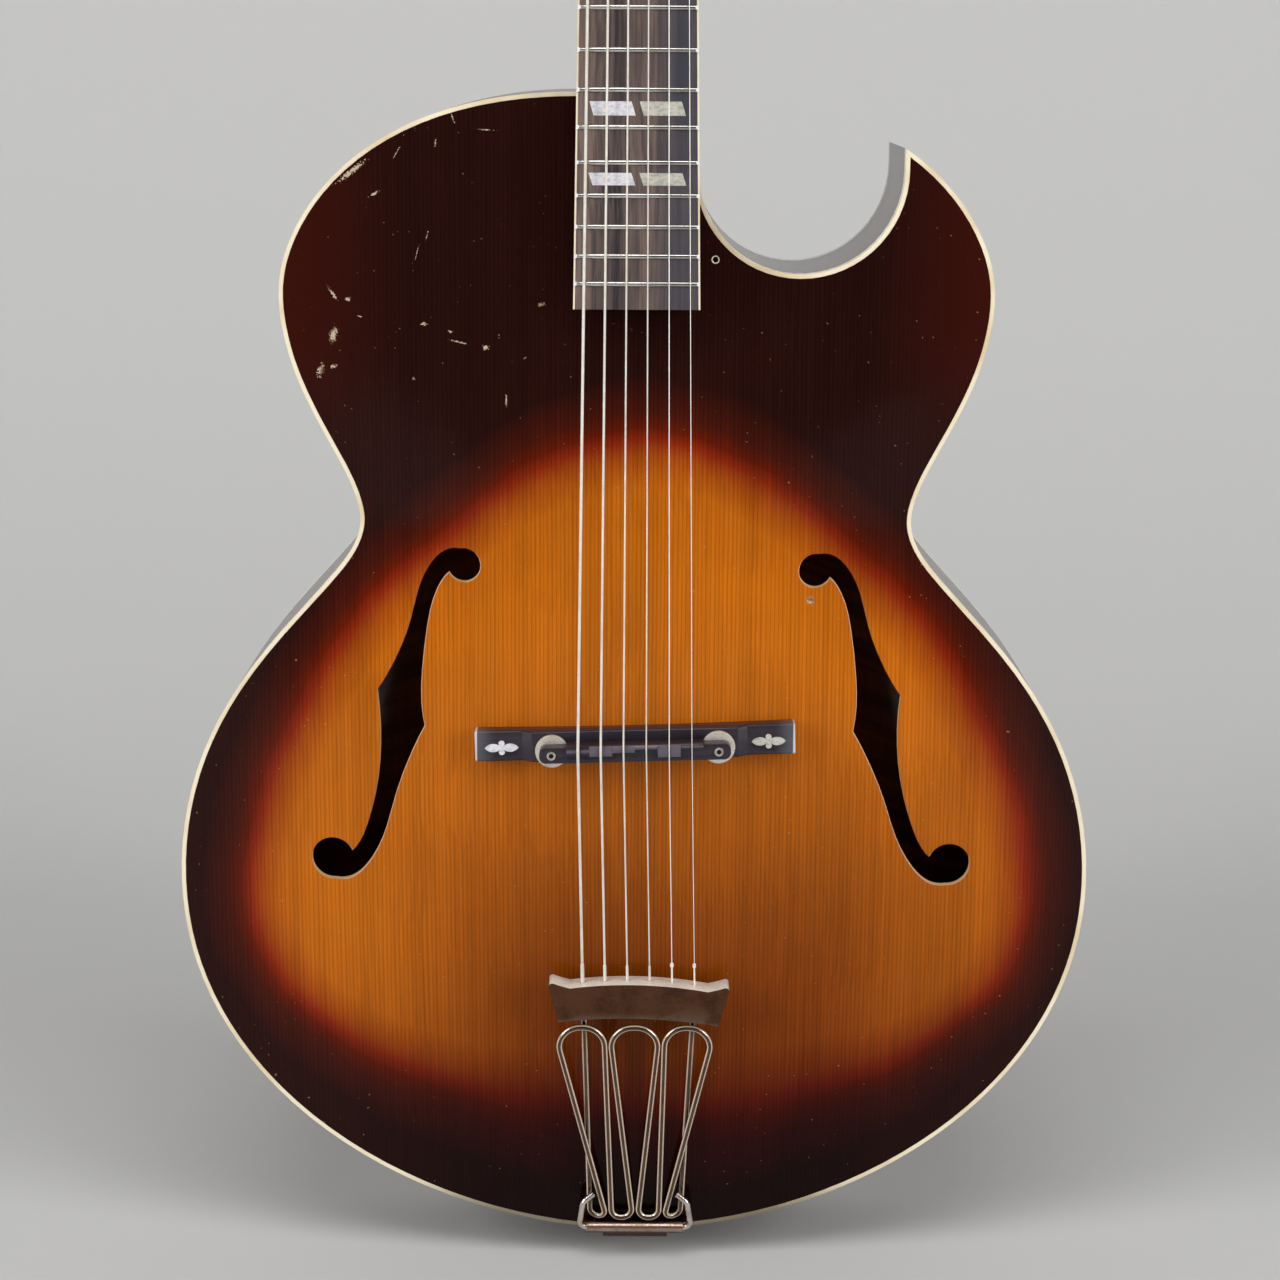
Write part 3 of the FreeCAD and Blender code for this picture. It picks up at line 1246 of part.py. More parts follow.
def tailpiece_bracket():
    axis_y, axis_z = FRONT - HINGE_RISE, HINGE_HEIGHT
    left, right = TAILPIECE_X - BARREL_HALF, TAILPIECE_X + BARREL_HALF
    barrel = rod(Vector(left, axis_y, axis_z), Vector(right, axis_y, axis_z), BARREL_RADIUS)
    half = BRACKET_WIDTH / 2
    outer = -BRACKET_THICKNESS - GLUE
    plate = block(TAILPIECE_X - half, TAILPIECE_X + half, axis_y, FRONT + BRACKET_LENGTH, outer, -GLUE)
    lip = block(TAILPIECE_X - half, TAILPIECE_X + half, axis_y, FRONT - BRACKET_GAP, outer, axis_z)
    bracket = plate.fuse(lip).fuse(barrel)
    pin_hole = rod(Vector(2 * left, axis_y, axis_z), Vector(2 * right, axis_y, axis_z), WIRE_RADIUS + PIN_FIT)
    bracket = bracket.cut(pin_hole).cut(end_pin_bore(GLUE))
    for place in bracket_screw_places():
        bracket = bracket.cut(pilot(place, Z_AXIS))
    return bracket


def tail_screws():
    return [screw(place - Z_AXIS * GLUE, Z_AXIS) for place in bracket_screw_places()]


def end_pin():
    seat = -BRACKET_THICKNESS - 2 * GLUE
    collar_end = seat - END_PIN_COLLAR_LENGTH
    neck_end = collar_end - END_PIN_NECK_LENGTH
    head_end = neck_end - END_PIN_HEAD_LENGTH
    shaft = rod(Vector(0, 0, END_PIN_INSIDE), Vector(0, 0, collar_end), END_PIN_SHAFT)
    collar = rod(Vector(0, 0, seat), Vector(0, 0, collar_end), END_PIN_COLLAR)
    waist = rod(Vector(0, 0, collar_end), Vector(0, 0, neck_end), END_PIN_NECK)
    head = rod(Vector(0, 0, neck_end), Vector(0, 0, head_end), END_PIN_HEAD)
    head = head.makeFillet(END_PIN_ROUNDING, [e for e in head.Edges if len(e.Vertexes) == 1])
    return shaft.fuse(collar).fuse(waist).fuse(head)


# Strings: ball end in the bar, over the saddle and the nut, to just before the post
def post_tangent(number):
    side, x, z = post_place(number)
    radius = POST_RADIUS + STRING_DIAMETERS[number] / 2 + STRING_SEAT
    level = -STRING_LEVEL
    start = Vector(nut_x(number), 0, 0)
    centre = Vector(x, 0, z)
    reach = (centre - start).Length
    bearing = math.atan2(centre.x - start.x, centre.z - start.z)
    swing = -side * math.asin(radius / reach)
    run = math.sqrt(reach ** 2 - radius ** 2)
    heading = Vector(math.sin(bearing + swing), 0, math.cos(bearing + swing))
    touch = start + heading * run
    return Vector(touch.x, level, touch.z), Vector(x, level, z), radius


def string_path(number):
    diameter = STRING_DIAMETERS[number]
    lift = diameter / 2 + STRING_SEAT
    ball = bar_point(Vector(tail_x(number), 0, BAR_CAVITY_TOP - BALL_RADIUS - GLUE))
    saddle = bridge_point(Vector(bridge_x(number), -ridge_level(number) - lift, bearing_z(number)))
    nut_back = NUT_L + NUT_THICKNESS + NUT_BREAK
    nut_top = neck_point(Vector(nut_x(number), nut_level(number) - diameter / 2, nut_back))
    before = head_point(post_tangent(number)[0])
    arriving = (before - nut_top).normalize()
    return [ball, saddle, nut_top, before - arriving * STRING_ENDS_BEFORE_POST]


def string_tube(number, clearance):
    path = bent_path(string_path(number), [STRING_BEND, NUT_BEND])
    return tube(path, STRING_DIAMETERS[number] / 2 + clearance)


def string_groove(number):
    return string_tube(number, STRING_SEAT)


def string(number):
    end = string_path(number)[0]
    half = Vector(BALL_LENGTH / 2, 0, 0)
    ball = rod(end - half, end + half, BALL_RADIUS)
    return string_tube(number, 0).fuse(ball)


def winding(number):
    touch, centre, radius = post_tangent(number)
    side = post_place(number)[0]
    diameter = STRING_DIAMETERS[number]
    pitch = diameter + WINDING_SPARE
    start_angle = math.atan2(touch.z - centre.z, touch.x - centre.x)
    sense = -1 if side > 0 else 1
    edges, first, last = helix_edges(centre, radius, pitch, WINDING_TURNS[number], start_angle, sense)
    begin = edges[0].valueAt(edges[0].FirstParameter)
    finish = edges[-1].valueAt(edges[-1].LastParameter)
    run_on = line_edge(begin - first * diameter, begin)
    tail = line_edge(finish, finish + last * diameter)
    path = Part.Wire([run_on] + edges + [tail])
    least_gap("winding_" + str(number + 1), Part.Wire(edges), diameter, pitch)
    return to_head(tube(path, diameter / 2))


def main():
    os.makedirs("parts", exist_ok=True)
    save("soundboard", [soundboard()])
    save("back_plate", [back_plate()])
    bass, treble = sides()
    tail = tail_block()
    for place in bracket_screw_places():
        hole = pilot(place, Z_AXIS)
        bass, treble, tail = bass.cut(hole), treble.cut(hole), tail.cut(hole)
    save("side_bass", [bass])
    save("side_treble", [treble])
    save("top_binding", [body_ring(0, BINDING_WIDTH, FRONT, FRONT + BINDING_HEIGHT)])
    save("back_binding", [body_ring(0, BINDING_WIDTH, BACK - BINDING_HEIGHT, BACK)])
    front_block = neck_block()
    save("neck_block", [front_block])
    save("tail_block", [tail])
    save("linings", linings((front_block, tail)))
    save("tone_bars", tone_bars())
    wood, cap = neck()
    save("neck", [wood])
    save("heel_cap", [cap])
    board, strips, frets, inlays = fingerboard()
    save("fingerboard", [to_neck(board)])
    save("fingerboard_binding", [to_neck(strip) for strip in strips])
    save("frets", [to_neck(fret) for fret in frets])
    save("position_inlays", [to_neck(inlay) for inlay in inlays])
    save("nut", [nut()])
    save("headstock_veneer", [veneer()])
    save("truss_rod", [truss_rod()])
    save("truss_rod_cover", [truss_cover()])
    save("tuner_housings", [to_tuner(tuner_housing(), number) for number in range(STRINGS)])
    save("tuner_bushings", [to_tuner(tuner_bushing(), number) for number in range(STRINGS)])
    save("head_screws", head_screws())
    post, worm, button = tuner_post(), tuner_worm(), tuner_button()
    for number in range(STRINGS):
        name = str(number + 1)
        save("tuner_post_" + name, [to_tuner(post, number), winding(number)])
        save("tuner_worm_" + name, [to_tuner(worm, number)])
        save("tuner_button_" + name, [to_tuner(button, number)])
        save("string_" + name, [string(number)])
    save("bridge_base", [bridge_base()])
    save("bridge_inlays", [ornament(side, 0) for side in (-1, 1)])
    save("bridge_posts", [to_bridge(bridge_post(x, 0)) for x in bridge_post_places()])
    save("thumbwheel_bass", [thumbwheel(bridge_post_places()[0])])
    save("thumbwheel_treble", [thumbwheel(bridge_post_places()[1])])
    save("bridge_saddle", [bridge_saddle()])
    save("tailpiece_bar", [tailpiece_bar()])
    save("tailpiece_wires", [tailpiece_wire()])
    save("tailpiece_hinge_pin", [hinge_pin()])
    save("tailpiece_bracket", [tailpiece_bracket()])
    save("tail_screws", tail_screws())
    save("end_pin", [end_pin()])


main()
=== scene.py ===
import math

import bpy
from bpy.props import FloatProperty, FloatVectorProperty, IntProperty, PointerProperty
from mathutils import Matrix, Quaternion, Vector


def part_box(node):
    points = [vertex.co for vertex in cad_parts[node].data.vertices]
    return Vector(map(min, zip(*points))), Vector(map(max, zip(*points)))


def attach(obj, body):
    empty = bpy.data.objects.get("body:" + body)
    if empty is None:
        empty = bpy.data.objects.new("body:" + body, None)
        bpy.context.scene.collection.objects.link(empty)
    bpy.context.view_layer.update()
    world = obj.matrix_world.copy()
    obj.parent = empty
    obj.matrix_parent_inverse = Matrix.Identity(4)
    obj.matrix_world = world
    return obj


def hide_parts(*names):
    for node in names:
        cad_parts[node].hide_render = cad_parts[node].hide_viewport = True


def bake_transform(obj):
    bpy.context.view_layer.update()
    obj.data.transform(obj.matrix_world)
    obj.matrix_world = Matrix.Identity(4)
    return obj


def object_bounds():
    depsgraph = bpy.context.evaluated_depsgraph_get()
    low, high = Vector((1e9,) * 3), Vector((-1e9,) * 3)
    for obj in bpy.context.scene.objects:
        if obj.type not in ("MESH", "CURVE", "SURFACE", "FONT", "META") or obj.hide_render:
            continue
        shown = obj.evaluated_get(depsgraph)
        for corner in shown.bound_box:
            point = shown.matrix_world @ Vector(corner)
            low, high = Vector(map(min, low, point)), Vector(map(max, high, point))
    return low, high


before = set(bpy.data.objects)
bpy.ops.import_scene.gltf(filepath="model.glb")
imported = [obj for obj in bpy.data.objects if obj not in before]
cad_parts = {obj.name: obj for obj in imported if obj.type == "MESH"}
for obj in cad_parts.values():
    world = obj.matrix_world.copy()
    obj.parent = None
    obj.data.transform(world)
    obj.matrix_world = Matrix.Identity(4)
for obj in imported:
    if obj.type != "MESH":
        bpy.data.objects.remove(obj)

bl_info = {
    "name": "Archtop guitar",
    "version": (1, 0, 0),
    "blender": (4, 5, 0),
    "location": "3D View > Sidebar > Guitar",
    "description": "Lacquers, strings and lights a hollow archtop guitar",
    "category": "Object",
}

CAD_BOX = [list(corner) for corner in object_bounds()]
MM = 0.001

# Strings: route from ball over saddle and nut to post in metres, and diameter in millimetres
STRING_ROUTES = (
    ((0.02788, -0.06529, 0.12355), (0.02529, -0.08116, 0.24436),
     (0.018, -0.03926, 0.88061), (0.0206, -0.02653, 0.92384), 0.33),
    ((0.01772, -0.06532, 0.1238), (0.0153, -0.08187, 0.24247),
     (0.0108, -0.03965, 0.88064), (0.02261, -0.01442, 0.96226), 0.43),
    ((0.00757, -0.06536, 0.12404), (0.00521, -0.08229, 0.24407),
     (0.0036, -0.03991, 0.88065), (0.02468, -0.00235, 1.00052), 0.61),
    ((-0.00259, -0.06539, 0.12429), (-0.00481, -0.08239, 0.24311),
     (-0.0036, -0.04001, 0.88066), (-0.02458, -0.00235, 1.00053), 0.81),
    ((-0.01275, -0.06543, 0.12454), (-0.01482, -0.08219, 0.24202),
     (-0.0108, -0.03997, 0.88066), (-0.0223, -0.01442, 0.96229), 1.07),
    ((-0.02291, -0.06547, 0.12478), (-0.02486, -0.08166, 0.24183),
     (-0.018, -0.03975, 0.88064), (-0.02012, -0.02656, 0.92383), 1.32),
)
BALL_RADIUS = 1.9 * MM
BALL_LENGTH = 3.2 * MM
TWIST_LENGTH = 14.5 * MM
TWIST_EXTRA = 0.22 * MM
KNOT_LENGTH = 1.7 * MM
KNOT_EXTRA = 0.6 * MM
PLAIN_STRINGS = 2
POST_RADIUS = 2.0 * MM

# Share of the way from saddle to ball at which the tail run of a string starts
TAIL_START = 0.4

# Merging of doubles, and the angles of flat faces, smooth faces and sharp edges
MERGE_DISTANCE = 1e-6
FLAT_ANGLE = math.radians(0.5)
SMOOTH_ANGLE = math.radians(35.0)
SHARP_ANGLE = math.radians(40.0)

# Open screw hole in the top: its place in metres, and the radii of its wall, edge and bare rim
SCREW_HOLE = (0.0343, 0.0, 0.4543)
HOLE_WALL = 1.4 * MM
HOLE_EDGE = 1.6 * MM
HOLE_RIM = 1.9 * MM

# Sunburst: its middle's shift to the treble side, and its depth in millimetres, less towards the tail
BURST_SHIFT = 3.0 * MM
BURST_DEPTH = 180.0
BURST_LOSS = 120.0

# Stage, in metres; a lamp has its place, the point that it is turned to, and its size
FLOOR_SIZE = (9.0, 5.2, 1.0)
FLOOR_MIDDLE = -1.4
FLOOR_GAP = 0.5 * MM
BACKDROP_HEIGHT = 4.0
SWEEP_RADIUS = 0.7
SWEEP_SEGMENTS = 16
LEFT_LAMP = ((-2.0, -1.35, 1.0), (0.0, 0.0, 0.35), (1.0, 1.6))
RIGHT_LAMP = ((2.0, -1.35, 1.0), (0.0, 0.0, 0.35), (1.0, 1.6))
UPPER_LAMP = ((0.0, -1.2, 2.3), (0.0, 0.0, 0.4), (1.8, 1.2))
ROOM_COLOUR = (0.9, 0.93, 1.0, 1.0)
SENSOR_WIDTH = 36.0

# Knocks in the top's lacquer: x, z, length, width in millimetres, and the turn in degrees
TOP_CHIPS = (
    (-124.0, 491.6, 17.0, 2.6, 38), (-114.2, 482.0, 5.5, 1.5, 30), (-104.5, 499.6, 6.0, 0.6, 60),
    (-87.6, 503.7, 5.0, 1.0, 85), (-80.0, 514.6, 6.0, 0.8, -70), (-66.0, 509.6, 8.5, 0.7, -3),
    (-133.4, 439.0, 9.0, 1.6, -55), (-126.5, 436.3, 2.4, 2.2, 0), (-121.4, 429.0, 3.0, 0.7, -10),
    (-133.3, 420.8, 9.5, 3.8, 75), (-139.0, 405.0, 7.5, 3.4, 70), (-133.4, 406.8, 4.0, 1.8, 10),
    (-93.0, 426.0, 3.2, 2.0, 0), (-81.7, 422.8, 3.0, 1.1, -15), (-78.0, 418.3, 9.0, 0.8, -12),
    (-66.0, 416.0, 3.6, 2.5, 0), (-41.7, 435.0, 4.0, 2.4, 10), (-57.0, 393.0, 5.0, 1.2, 88),
    (-97.8, 402.0, 1.6, 1.5, 0), (-96.0, 456.5, 8.0, 0.4, 75), (-91.6, 463.8, 5.0, 0.5, 75),
    (78.0, 304.5, 5.0, 4.6, 0),
)


def tint(name, description, default):
    return FloatVectorProperty(
        name=name, description=description, subtype="COLOR", min=0, max=1, default=default)


class GuitarFinish(bpy.types.PropertyGroup):
    """Colours of the guitar's woods, metals and trim"""

    amber: tint("Amber", "Middle of the sunburst", (0.50, 0.13, 0.006))
    ember: tint("Ember", "Red ring where the sunburst turns dark", (0.21, 0.018, 0.004))
    burst_edge: tint("Burst edge", "Near black edge of the sunburst", (0.018, 0.0042, 0.003))
    bare_wood: tint("Bare wood", "Spruce without lacquer", (0.56, 0.36, 0.18))
    chipped: tint("Chipped", "Pale rim and floor of a knock in the lacquer", (0.50, 0.39, 0.28))
    cream: tint("Cream", "Aged binding and trim", (0.86, 0.76, 0.56))
    rosewood: tint("Rosewood", "Fingerboard", (0.060, 0.042, 0.036))
    ebony: tint("Ebony", "Bridge", (0.026, 0.020, 0.028))
    nickel: tint("Nickel", "Tuners, bushings and wheels", (0.66, 0.63, 0.56))
    bronze: tint("Bronze", "Worn plating of the tailpiece", (0.40, 0.26, 0.17))
    # Colour of the painted highlights along the tailpiece wire's sides
    wire_glint_colour: tint("Wire glint", "Bright sides of the tailpiece wire", (0.72, 0.58, 0.46))
    # Pale metal of the height wheels, also painted on the crossbar as a highlight
    pale_metal_and_highlight: tint("Pale metal", "Height wheels, and the highlight painted on the crossbar's top, ends and lower edge", (0.80, 0.74, 0.64))


class GuitarDetail(bpy.types.PropertyGroup):
    """Sizes of the details that the lacquer and the strings show"""

    grain_lines: FloatProperty(
        name="Grain lines", description="Grain lines of the spruce in one metre", min=100, max=2000,
        default=540)
    winding_pitch: FloatProperty(
        name="Winding pitch", description="Pitch of the wound strings", subtype="DISTANCE",
        unit="LENGTH", min=0.0001, max=0.002, default=0.00045)
    string_sides: IntProperty(
        name="String sides", description="Sides of a string", min=6, max=32, default=12)
    string_parts: IntProperty(
        name="String parts", description="Rings along a string's long run", min=4, max=64, default=28)
    edge_rounding: FloatProperty(
        name="Edge rounding", description="Rounding of the bridge and tailpiece edges",
        subtype="DISTANCE", unit="LENGTH", min=0.00005, max=0.002, default=0.0004)


class GuitarStage(bpy.types.PropertyGroup):
    """Floor, light and camera"""

    lens: FloatProperty(
        name="Lens", description="Focal length of the camera in millimetres", min=20, max=200,
        default=77.5)
    stand_point: FloatVectorProperty(
        name="Stand point", description="Place of the camera", subtype="TRANSLATION", unit="LENGTH",
        default=(0.0022, -1.2547, 0.5464))
    aim: FloatVectorProperty(
        name="Aim", description="Point that the camera looks at", subtype="TRANSLATION",
        unit="LENGTH", default=(0.0022, -0.043, 0.2841))
    roll: FloatProperty(
        name="Roll", description="Turn of the camera about its own axis", subtype="ANGLE",
        unit="ROTATION", default=math.radians(0.31))
    floor_tone: FloatProperty(
        name="Floor tone", description="Grey of the floor and backdrop", min=0, max=1, default=0.6)
    side_light: FloatProperty(
        name="Side light", description="Power of each side lamp in watts", min=0, max=500, default=39)
    top_light: FloatProperty(
        name="Top light", description="Power of the lamp above in watts", min=0, max=500, default=23)
    room_light: FloatProperty(
        name="Room light", description="Strength of the light all round", min=0, max=2, default=0.06)


# Shader building

def add_node(tree, kind, **settings):
    made = tree.nodes.new(kind)
    for name, value in settings.items():
        setattr(made, name, value)
    return made


def feed(tree, socket, value):
    if isinstance(value, bpy.types.NodeSocket):
        tree.links.new(value, socket)
    else:
        socket.default_value = value


def reckon(tree, operation, *terms, clamp=False):
    made = add_node(tree, "ShaderNodeMath", operation=operation, use_clamp=clamp)
    for socket, term in zip(made.inputs, terms):
        feed(tree, socket, term)
    return made.outputs[0]


def times(tree, first, second):
    return reckon(tree, "MULTIPLY", first, second)


def plus(tree, first, second):
    return reckon(tree, "ADD", first, second)


def minus(tree, first, second):
    return reckon(tree, "SUBTRACT", first, second)


def larger(tree, first, second):
    return reckon(tree, "MAXIMUM", first, second)


def steer(tree, operation, *terms):
    made = add_node(tree, "ShaderNodeVectorMath", operation=operation)
    for socket, term in zip(made.inputs, terms):
        feed(tree, socket, term)
    return made.outputs[1 if operation in {"LENGTH", "DOT_PRODUCT", "DISTANCE"} else 0]


def blend_colours(tree, share, first, second, way="MIX"):
    made = add_node(tree, "ShaderNodeMix", data_type="RGBA", blend_type=way)
    feed(tree, made.inputs[0], share)
    for socket, colour in ((made.inputs[6], first), (made.inputs[7], second)):
        if isinstance(colour, bpy.types.NodeSocket):
            tree.links.new(colour, socket)
        else:
            socket.default_value = (*colour, 1)
    return made.outputs[2]


def ramp(tree, value, stops):
    made = add_node(tree, "ShaderNodeValToRGB")
    while len(made.color_ramp.elements) < len(stops):
        made.color_ramp.elements.new(1.0)
    for element, (place, colour) in zip(made.color_ramp.elements, stops):
        element.position = place
        element.color = (*colour, 1)
    feed(tree, made.inputs[0], value)
    return made.outputs[0]


def ease(tree, value, low, high, start=0.0, end=1.0):
    made = add_node(tree, "ShaderNodeMapRange", interpolation_type="SMOOTHSTEP")
    for socket, term in zip(made.inputs, (value, low, high, start, end)):
        feed(tree, socket, term)
    return made.outputs[0]


def speckle(tree, place, scale, detail=2.0, roughness=0.5):
    made = add_node(tree, "ShaderNodeTexNoise")
    feed(tree, made.inputs["Vector"], place)
    for name, term in (("Scale", scale), ("Detail", detail), ("Roughness", roughness)):
        feed(tree, made.inputs[name], term)
    return made.outputs[0]


def object_place(tree):
    return add_node(tree, "ShaderNodeTexCoord").outputs["Object"]


def parts_of(tree, place):
    made = add_node(tree, "ShaderNodeSeparateXYZ")
    feed(tree, made.inputs[0], place)
    return made.outputs


def object_facing(tree):
    return parts_of(tree, add_node(tree, "ShaderNodeTexCoord").outputs["Normal"])


def start_group(name, inputs, outputs):
    tree = bpy.data.node_groups.new(name, "ShaderNodeTree")
    for direction, sockets in (("INPUT", inputs), ("OUTPUT", outputs)):
        for socket_name, kind, *default in sockets:
            socket = tree.interface.new_socket(socket_name, in_out=direction, socket_type=kind)
            if default:
                socket.default_value = default[0]
    return tree, add_node(tree, "NodeGroupInput").outputs, add_node(tree, "NodeGroupOutput").inputs


def use_group(tree, name, **terms):
    made = add_node(tree, "ShaderNodeGroup", node_tree=bpy.data.node_groups[name])
    for socket_name, term in terms.items():
        feed(tree, made.inputs[socket_name.replace("_", " ")], term)
    return made.outputs


def make_grain_group():
    """Lines and broad streaks of wood; Across gives how many lie in one metre along each axis."""
    tree, given, result = start_group(
        "Wood grain", [("Across", "NodeSocketVector", (600.0, 200.0, 3.0))],
        [("Lines", "NodeSocketFloat"), ("Streaks", "NodeSocketFloat")])
    place = object_place(tree)
    sway = speckle(tree, place, 9.0)
    shift = times(tree, sway, 6.0)
    across = steer(tree, "MULTIPLY", place, given["Across"])
    bent = steer(tree, "ADD", across, shift)
    tree.links.new(speckle(tree, bent, 1.0, 3.0, 0.6), result["Lines"])
    tree.links.new(speckle(tree, bent, 0.13, 2.0), result["Streaks"])


def make_aged_group():
    """Soft patches of darker and paler tone, as on any old finish."""
    tree, given, result = start_group(
        "Aged tone", [("Patches", "NodeSocketFloat", 12.0)],
        [("Tone", "NodeSocketFloat"), ("Fine", "NodeSocketFloat")])
    place = object_place(tree)
    tree.links.new(speckle(tree, place, given["Patches"], 3.0, 0.55), result["Tone"])
    fine = times(tree, given["Patches"], 22.0)
    tree.links.new(speckle(tree, place, fine, 4.0, 0.65), result["Fine"])


def make_burst_group():
    """How deep a place lies inside the pale egg of the sunburst, in millimetres."""
    tree, given, result = start_group(
        "Sunburst depth",
        [("Half Width", "NodeSocketFloat", 0.178), ("Middle", "NodeSocketFloat", 0.165),
         ("Rise", "NodeSocketFloat", 0.21), ("Fall", "NodeSocketFloat", 0.103),
         ("Upper Bluntness", "NodeSocketFloat", 1.65)],
        [("Depth", "NodeSocketFloat")])
    place = object_place(tree)
    x, _, z = parts_of(tree, place)
    height = minus(tree, z, given["Middle"])
    above = reckon(tree, "GREATER_THAN", height, 0.0)
    below = minus(tree, 1.0, above)
    reach = plus(tree, times(tree, given["Rise"], above), times(tree, given["Fall"], below))
    blunt = plus(tree, times(tree, given["Upper Bluntness"], above), times(tree, 2.0, below))
    aside = size_of(tree, minus(tree, x, BURST_SHIFT))
    wide = reckon(tree, "DIVIDE", aside, given["Half Width"])
    tall = reckon(tree, "DIVIDE", size_of(tree, height), reach)
    together = plus(tree, reckon(tree, "POWER", wide, blunt), reckon(tree, "POWER", tall, blunt))
    ring = reckon(tree, "POWER", together, reckon(tree, "DIVIDE", 1.0, blunt))
    whole = larger(tree, times(tree, ring, ring), 0.0001)
    upright = reckon(tree, "DIVIDE", times(tree, tall, tall), whole)
    soft = minus(tree, BURST_DEPTH, times(tree, BURST_LOSS, times(tree, upright, below)))
    depth = times(tree, minus(tree, 1.0, ring), soft)
    drift = times(tree, minus(tree, speckle(tree, place, 14.0), 0.5), 12.0)
    tree.links.new(plus(tree, depth, drift), result["Depth"])


def make_chip_group():
    """One knock in the lacquer with a ragged edge, lying in the plane of the top."""
    tree, given, result = start_group(
        "Lacquer chip",
        [("Place", "NodeSocketVector"), ("Size", "NodeSocketVector", (0.004, 1.0, 0.002)),
         ("Turn", "NodeSocketFloat", 0.0)], [("Mask", "NodeSocketFloat")])
    place = object_place(tree)
    turned = add_node(tree, "ShaderNodeVectorRotate", rotation_type="Y_AXIS")
    feed(tree, turned.inputs["Vector"], steer(tree, "SUBTRACT", place, given["Place"]))
    feed(tree, turned.inputs["Angle"], given["Turn"])
    away = steer(tree, "LENGTH", steer(tree, "DIVIDE", turned.outputs[0], given["Size"]))
    torn = speckle(tree, place, 1300.0, 3.0, 0.65)
    ragged = plus(tree, away, times(tree, minus(tree, torn, 0.42), 3.2))
    tree.links.new(ease(tree, ragged, 0.8, 1.0, 1.0, 0.0), result["Mask"])


def make_tarnish_group():
    """Worn plating: a colour between clean and dull metal, and its roughness."""
    tree, given, result = start_group(
        "Tarnish",
        [("Clean", "NodeSocketColor"), ("Dull", "NodeSocketColor"), ("Patches", "NodeSocketFloat", 120.0),
         ("Smooth", "NodeSocketFloat", 0.22), ("Rough", "NodeSocketFloat", 0.45)],
        [("Colour", "NodeSocketColor"), ("Roughness", "NodeSocketFloat"), ("Share", "NodeSocketFloat")])
    place = object_place(tree)
    broad = speckle(tree, place, given["Patches"], 4.0, 0.6)
    fine = speckle(tree, place, times(tree, given["Patches"], 9.0), 3.0, 0.7)
    both = plus(tree, times(tree, broad, 0.7), times(tree, fine, 0.3))
    share = ease(tree, both, 0.38, 0.66)
    tree.links.new(blend_colours(tree, share, given["Clean"], given["Dull"]), result["Colour"])
    spread = minus(tree, given["Rough"], given["Smooth"])
    tree.links.new(plus(tree, given["Smooth"], times(tree, spread, share)), result["Roughness"])
    tree.links.new(share, result["Share"])


def make_groups():
    make_grain_group()
    make_aged_group()
    make_burst_group()
    make_chip_group()
    make_tarnish_group()


def start_material(name, **settings):
    material = bpy.data.materials.new(name)
    material.use_nodes = True
    tree = material.node_tree
    shader = tree.nodes["Principled BSDF"]
    for socket_name, value in settings.items():
        shader.inputs[socket_name.replace("_", " ")].default_value = value
    return material, tree, shader.inputs


def rounded(tree, radius):
    made = add_node(tree, "ShaderNodeBevel", samples=4)
    made.inputs["Radius"].default_value = radius
    return made.outputs[0]


def bumped(tree, height, strength, distance, normal=None):
    made = add_node(tree, "ShaderNodeBump")
    made.inputs["Strength"].default_value = strength
    made.inputs["Distance"].default_value = distance
    tree.links.new(height, made.inputs["Height"])
    if normal is not None:
        tree.links.new(normal, made.inputs["Normal"])
    return made.outputs[0]


def tarnished(tree, clean, dull, patches, smooth, rough):
    return use_group(tree, "Tarnish", Clean=(*clean, 1), Dull=(*dull, 1), Patches=patches, Smooth=smooth,
                     Rough=rough)


def roughen(tree, surface, metal):
    """Uneven gloss and fine pits of tarnished metal."""
    feed(tree, surface["Roughness"], metal["Roughness"])
    feed(tree, surface["Normal"], bumped(tree, metal["Share"], 0.08, 0.0001, rounded(tree, 0.0003)))


def along(tree, axis):
    return parts_of(tree, object_place(tree))[axis]


def size_of(tree, value):
    return reckon(tree, "ABSOLUTE", value)


# Finishes

def burst_colours(finish):
    edge, ember, amber = (Vector(c) for c in (finish.burst_edge, finish.ember, finish.amber))
    return (
        (0.0, edge), (0.215, edge.lerp(ember, 0.18)), (0.308, ember * 0.48), (0.385, ember),
        (0.477, ember.lerp(amber, 0.33)), (0.66, ember.lerp(amber, 0.84)), (1.0, amber))


def spruce_tone(tree, place, x, grain, aged, grain_lines):
    """Light and dark of the spruce: growth rings, fine lines, streaks and patches."""
    sway = speckle(tree, steer(tree, "MULTIPLY", place, (60.0, 10.0, 2.5)), 1.0)
    phase = plus(tree, times(tree, x, 2 * math.pi * grain_lines), times(tree, sway, 14.0))
    rings = ease(tree, reckon(tree, "SINE", phase), 0.0, 1.0, 1.05, 0.80)
    lines = times(tree, ease(tree, grain["Lines"], 0.35, 0.68, 1.05, 0.88), rings)
    streaks = ease(tree, grain["Streaks"], 0.3, 0.7, 0.93, 1.06)
    patches = ease(tree, aged["Tone"], 0.3, 0.7, 0.9, 1.1)
    return times(tree, lines, times(tree, streaks, patches))


def top_chips(tree):
    """Mask of all the knocks in the top's lacquer."""
    chips = 0.0
    for across, up, length, width, turn in TOP_CHIPS:
        mask = use_group(tree, "Lacquer chip", Place=(across * MM, 0.0, up * MM),
                         Size=(length * MM / 2, 1.0, width * MM / 2), Turn=math.radians(turn))["Mask"]
        chips = larger(tree, chips, mask)
    return chips


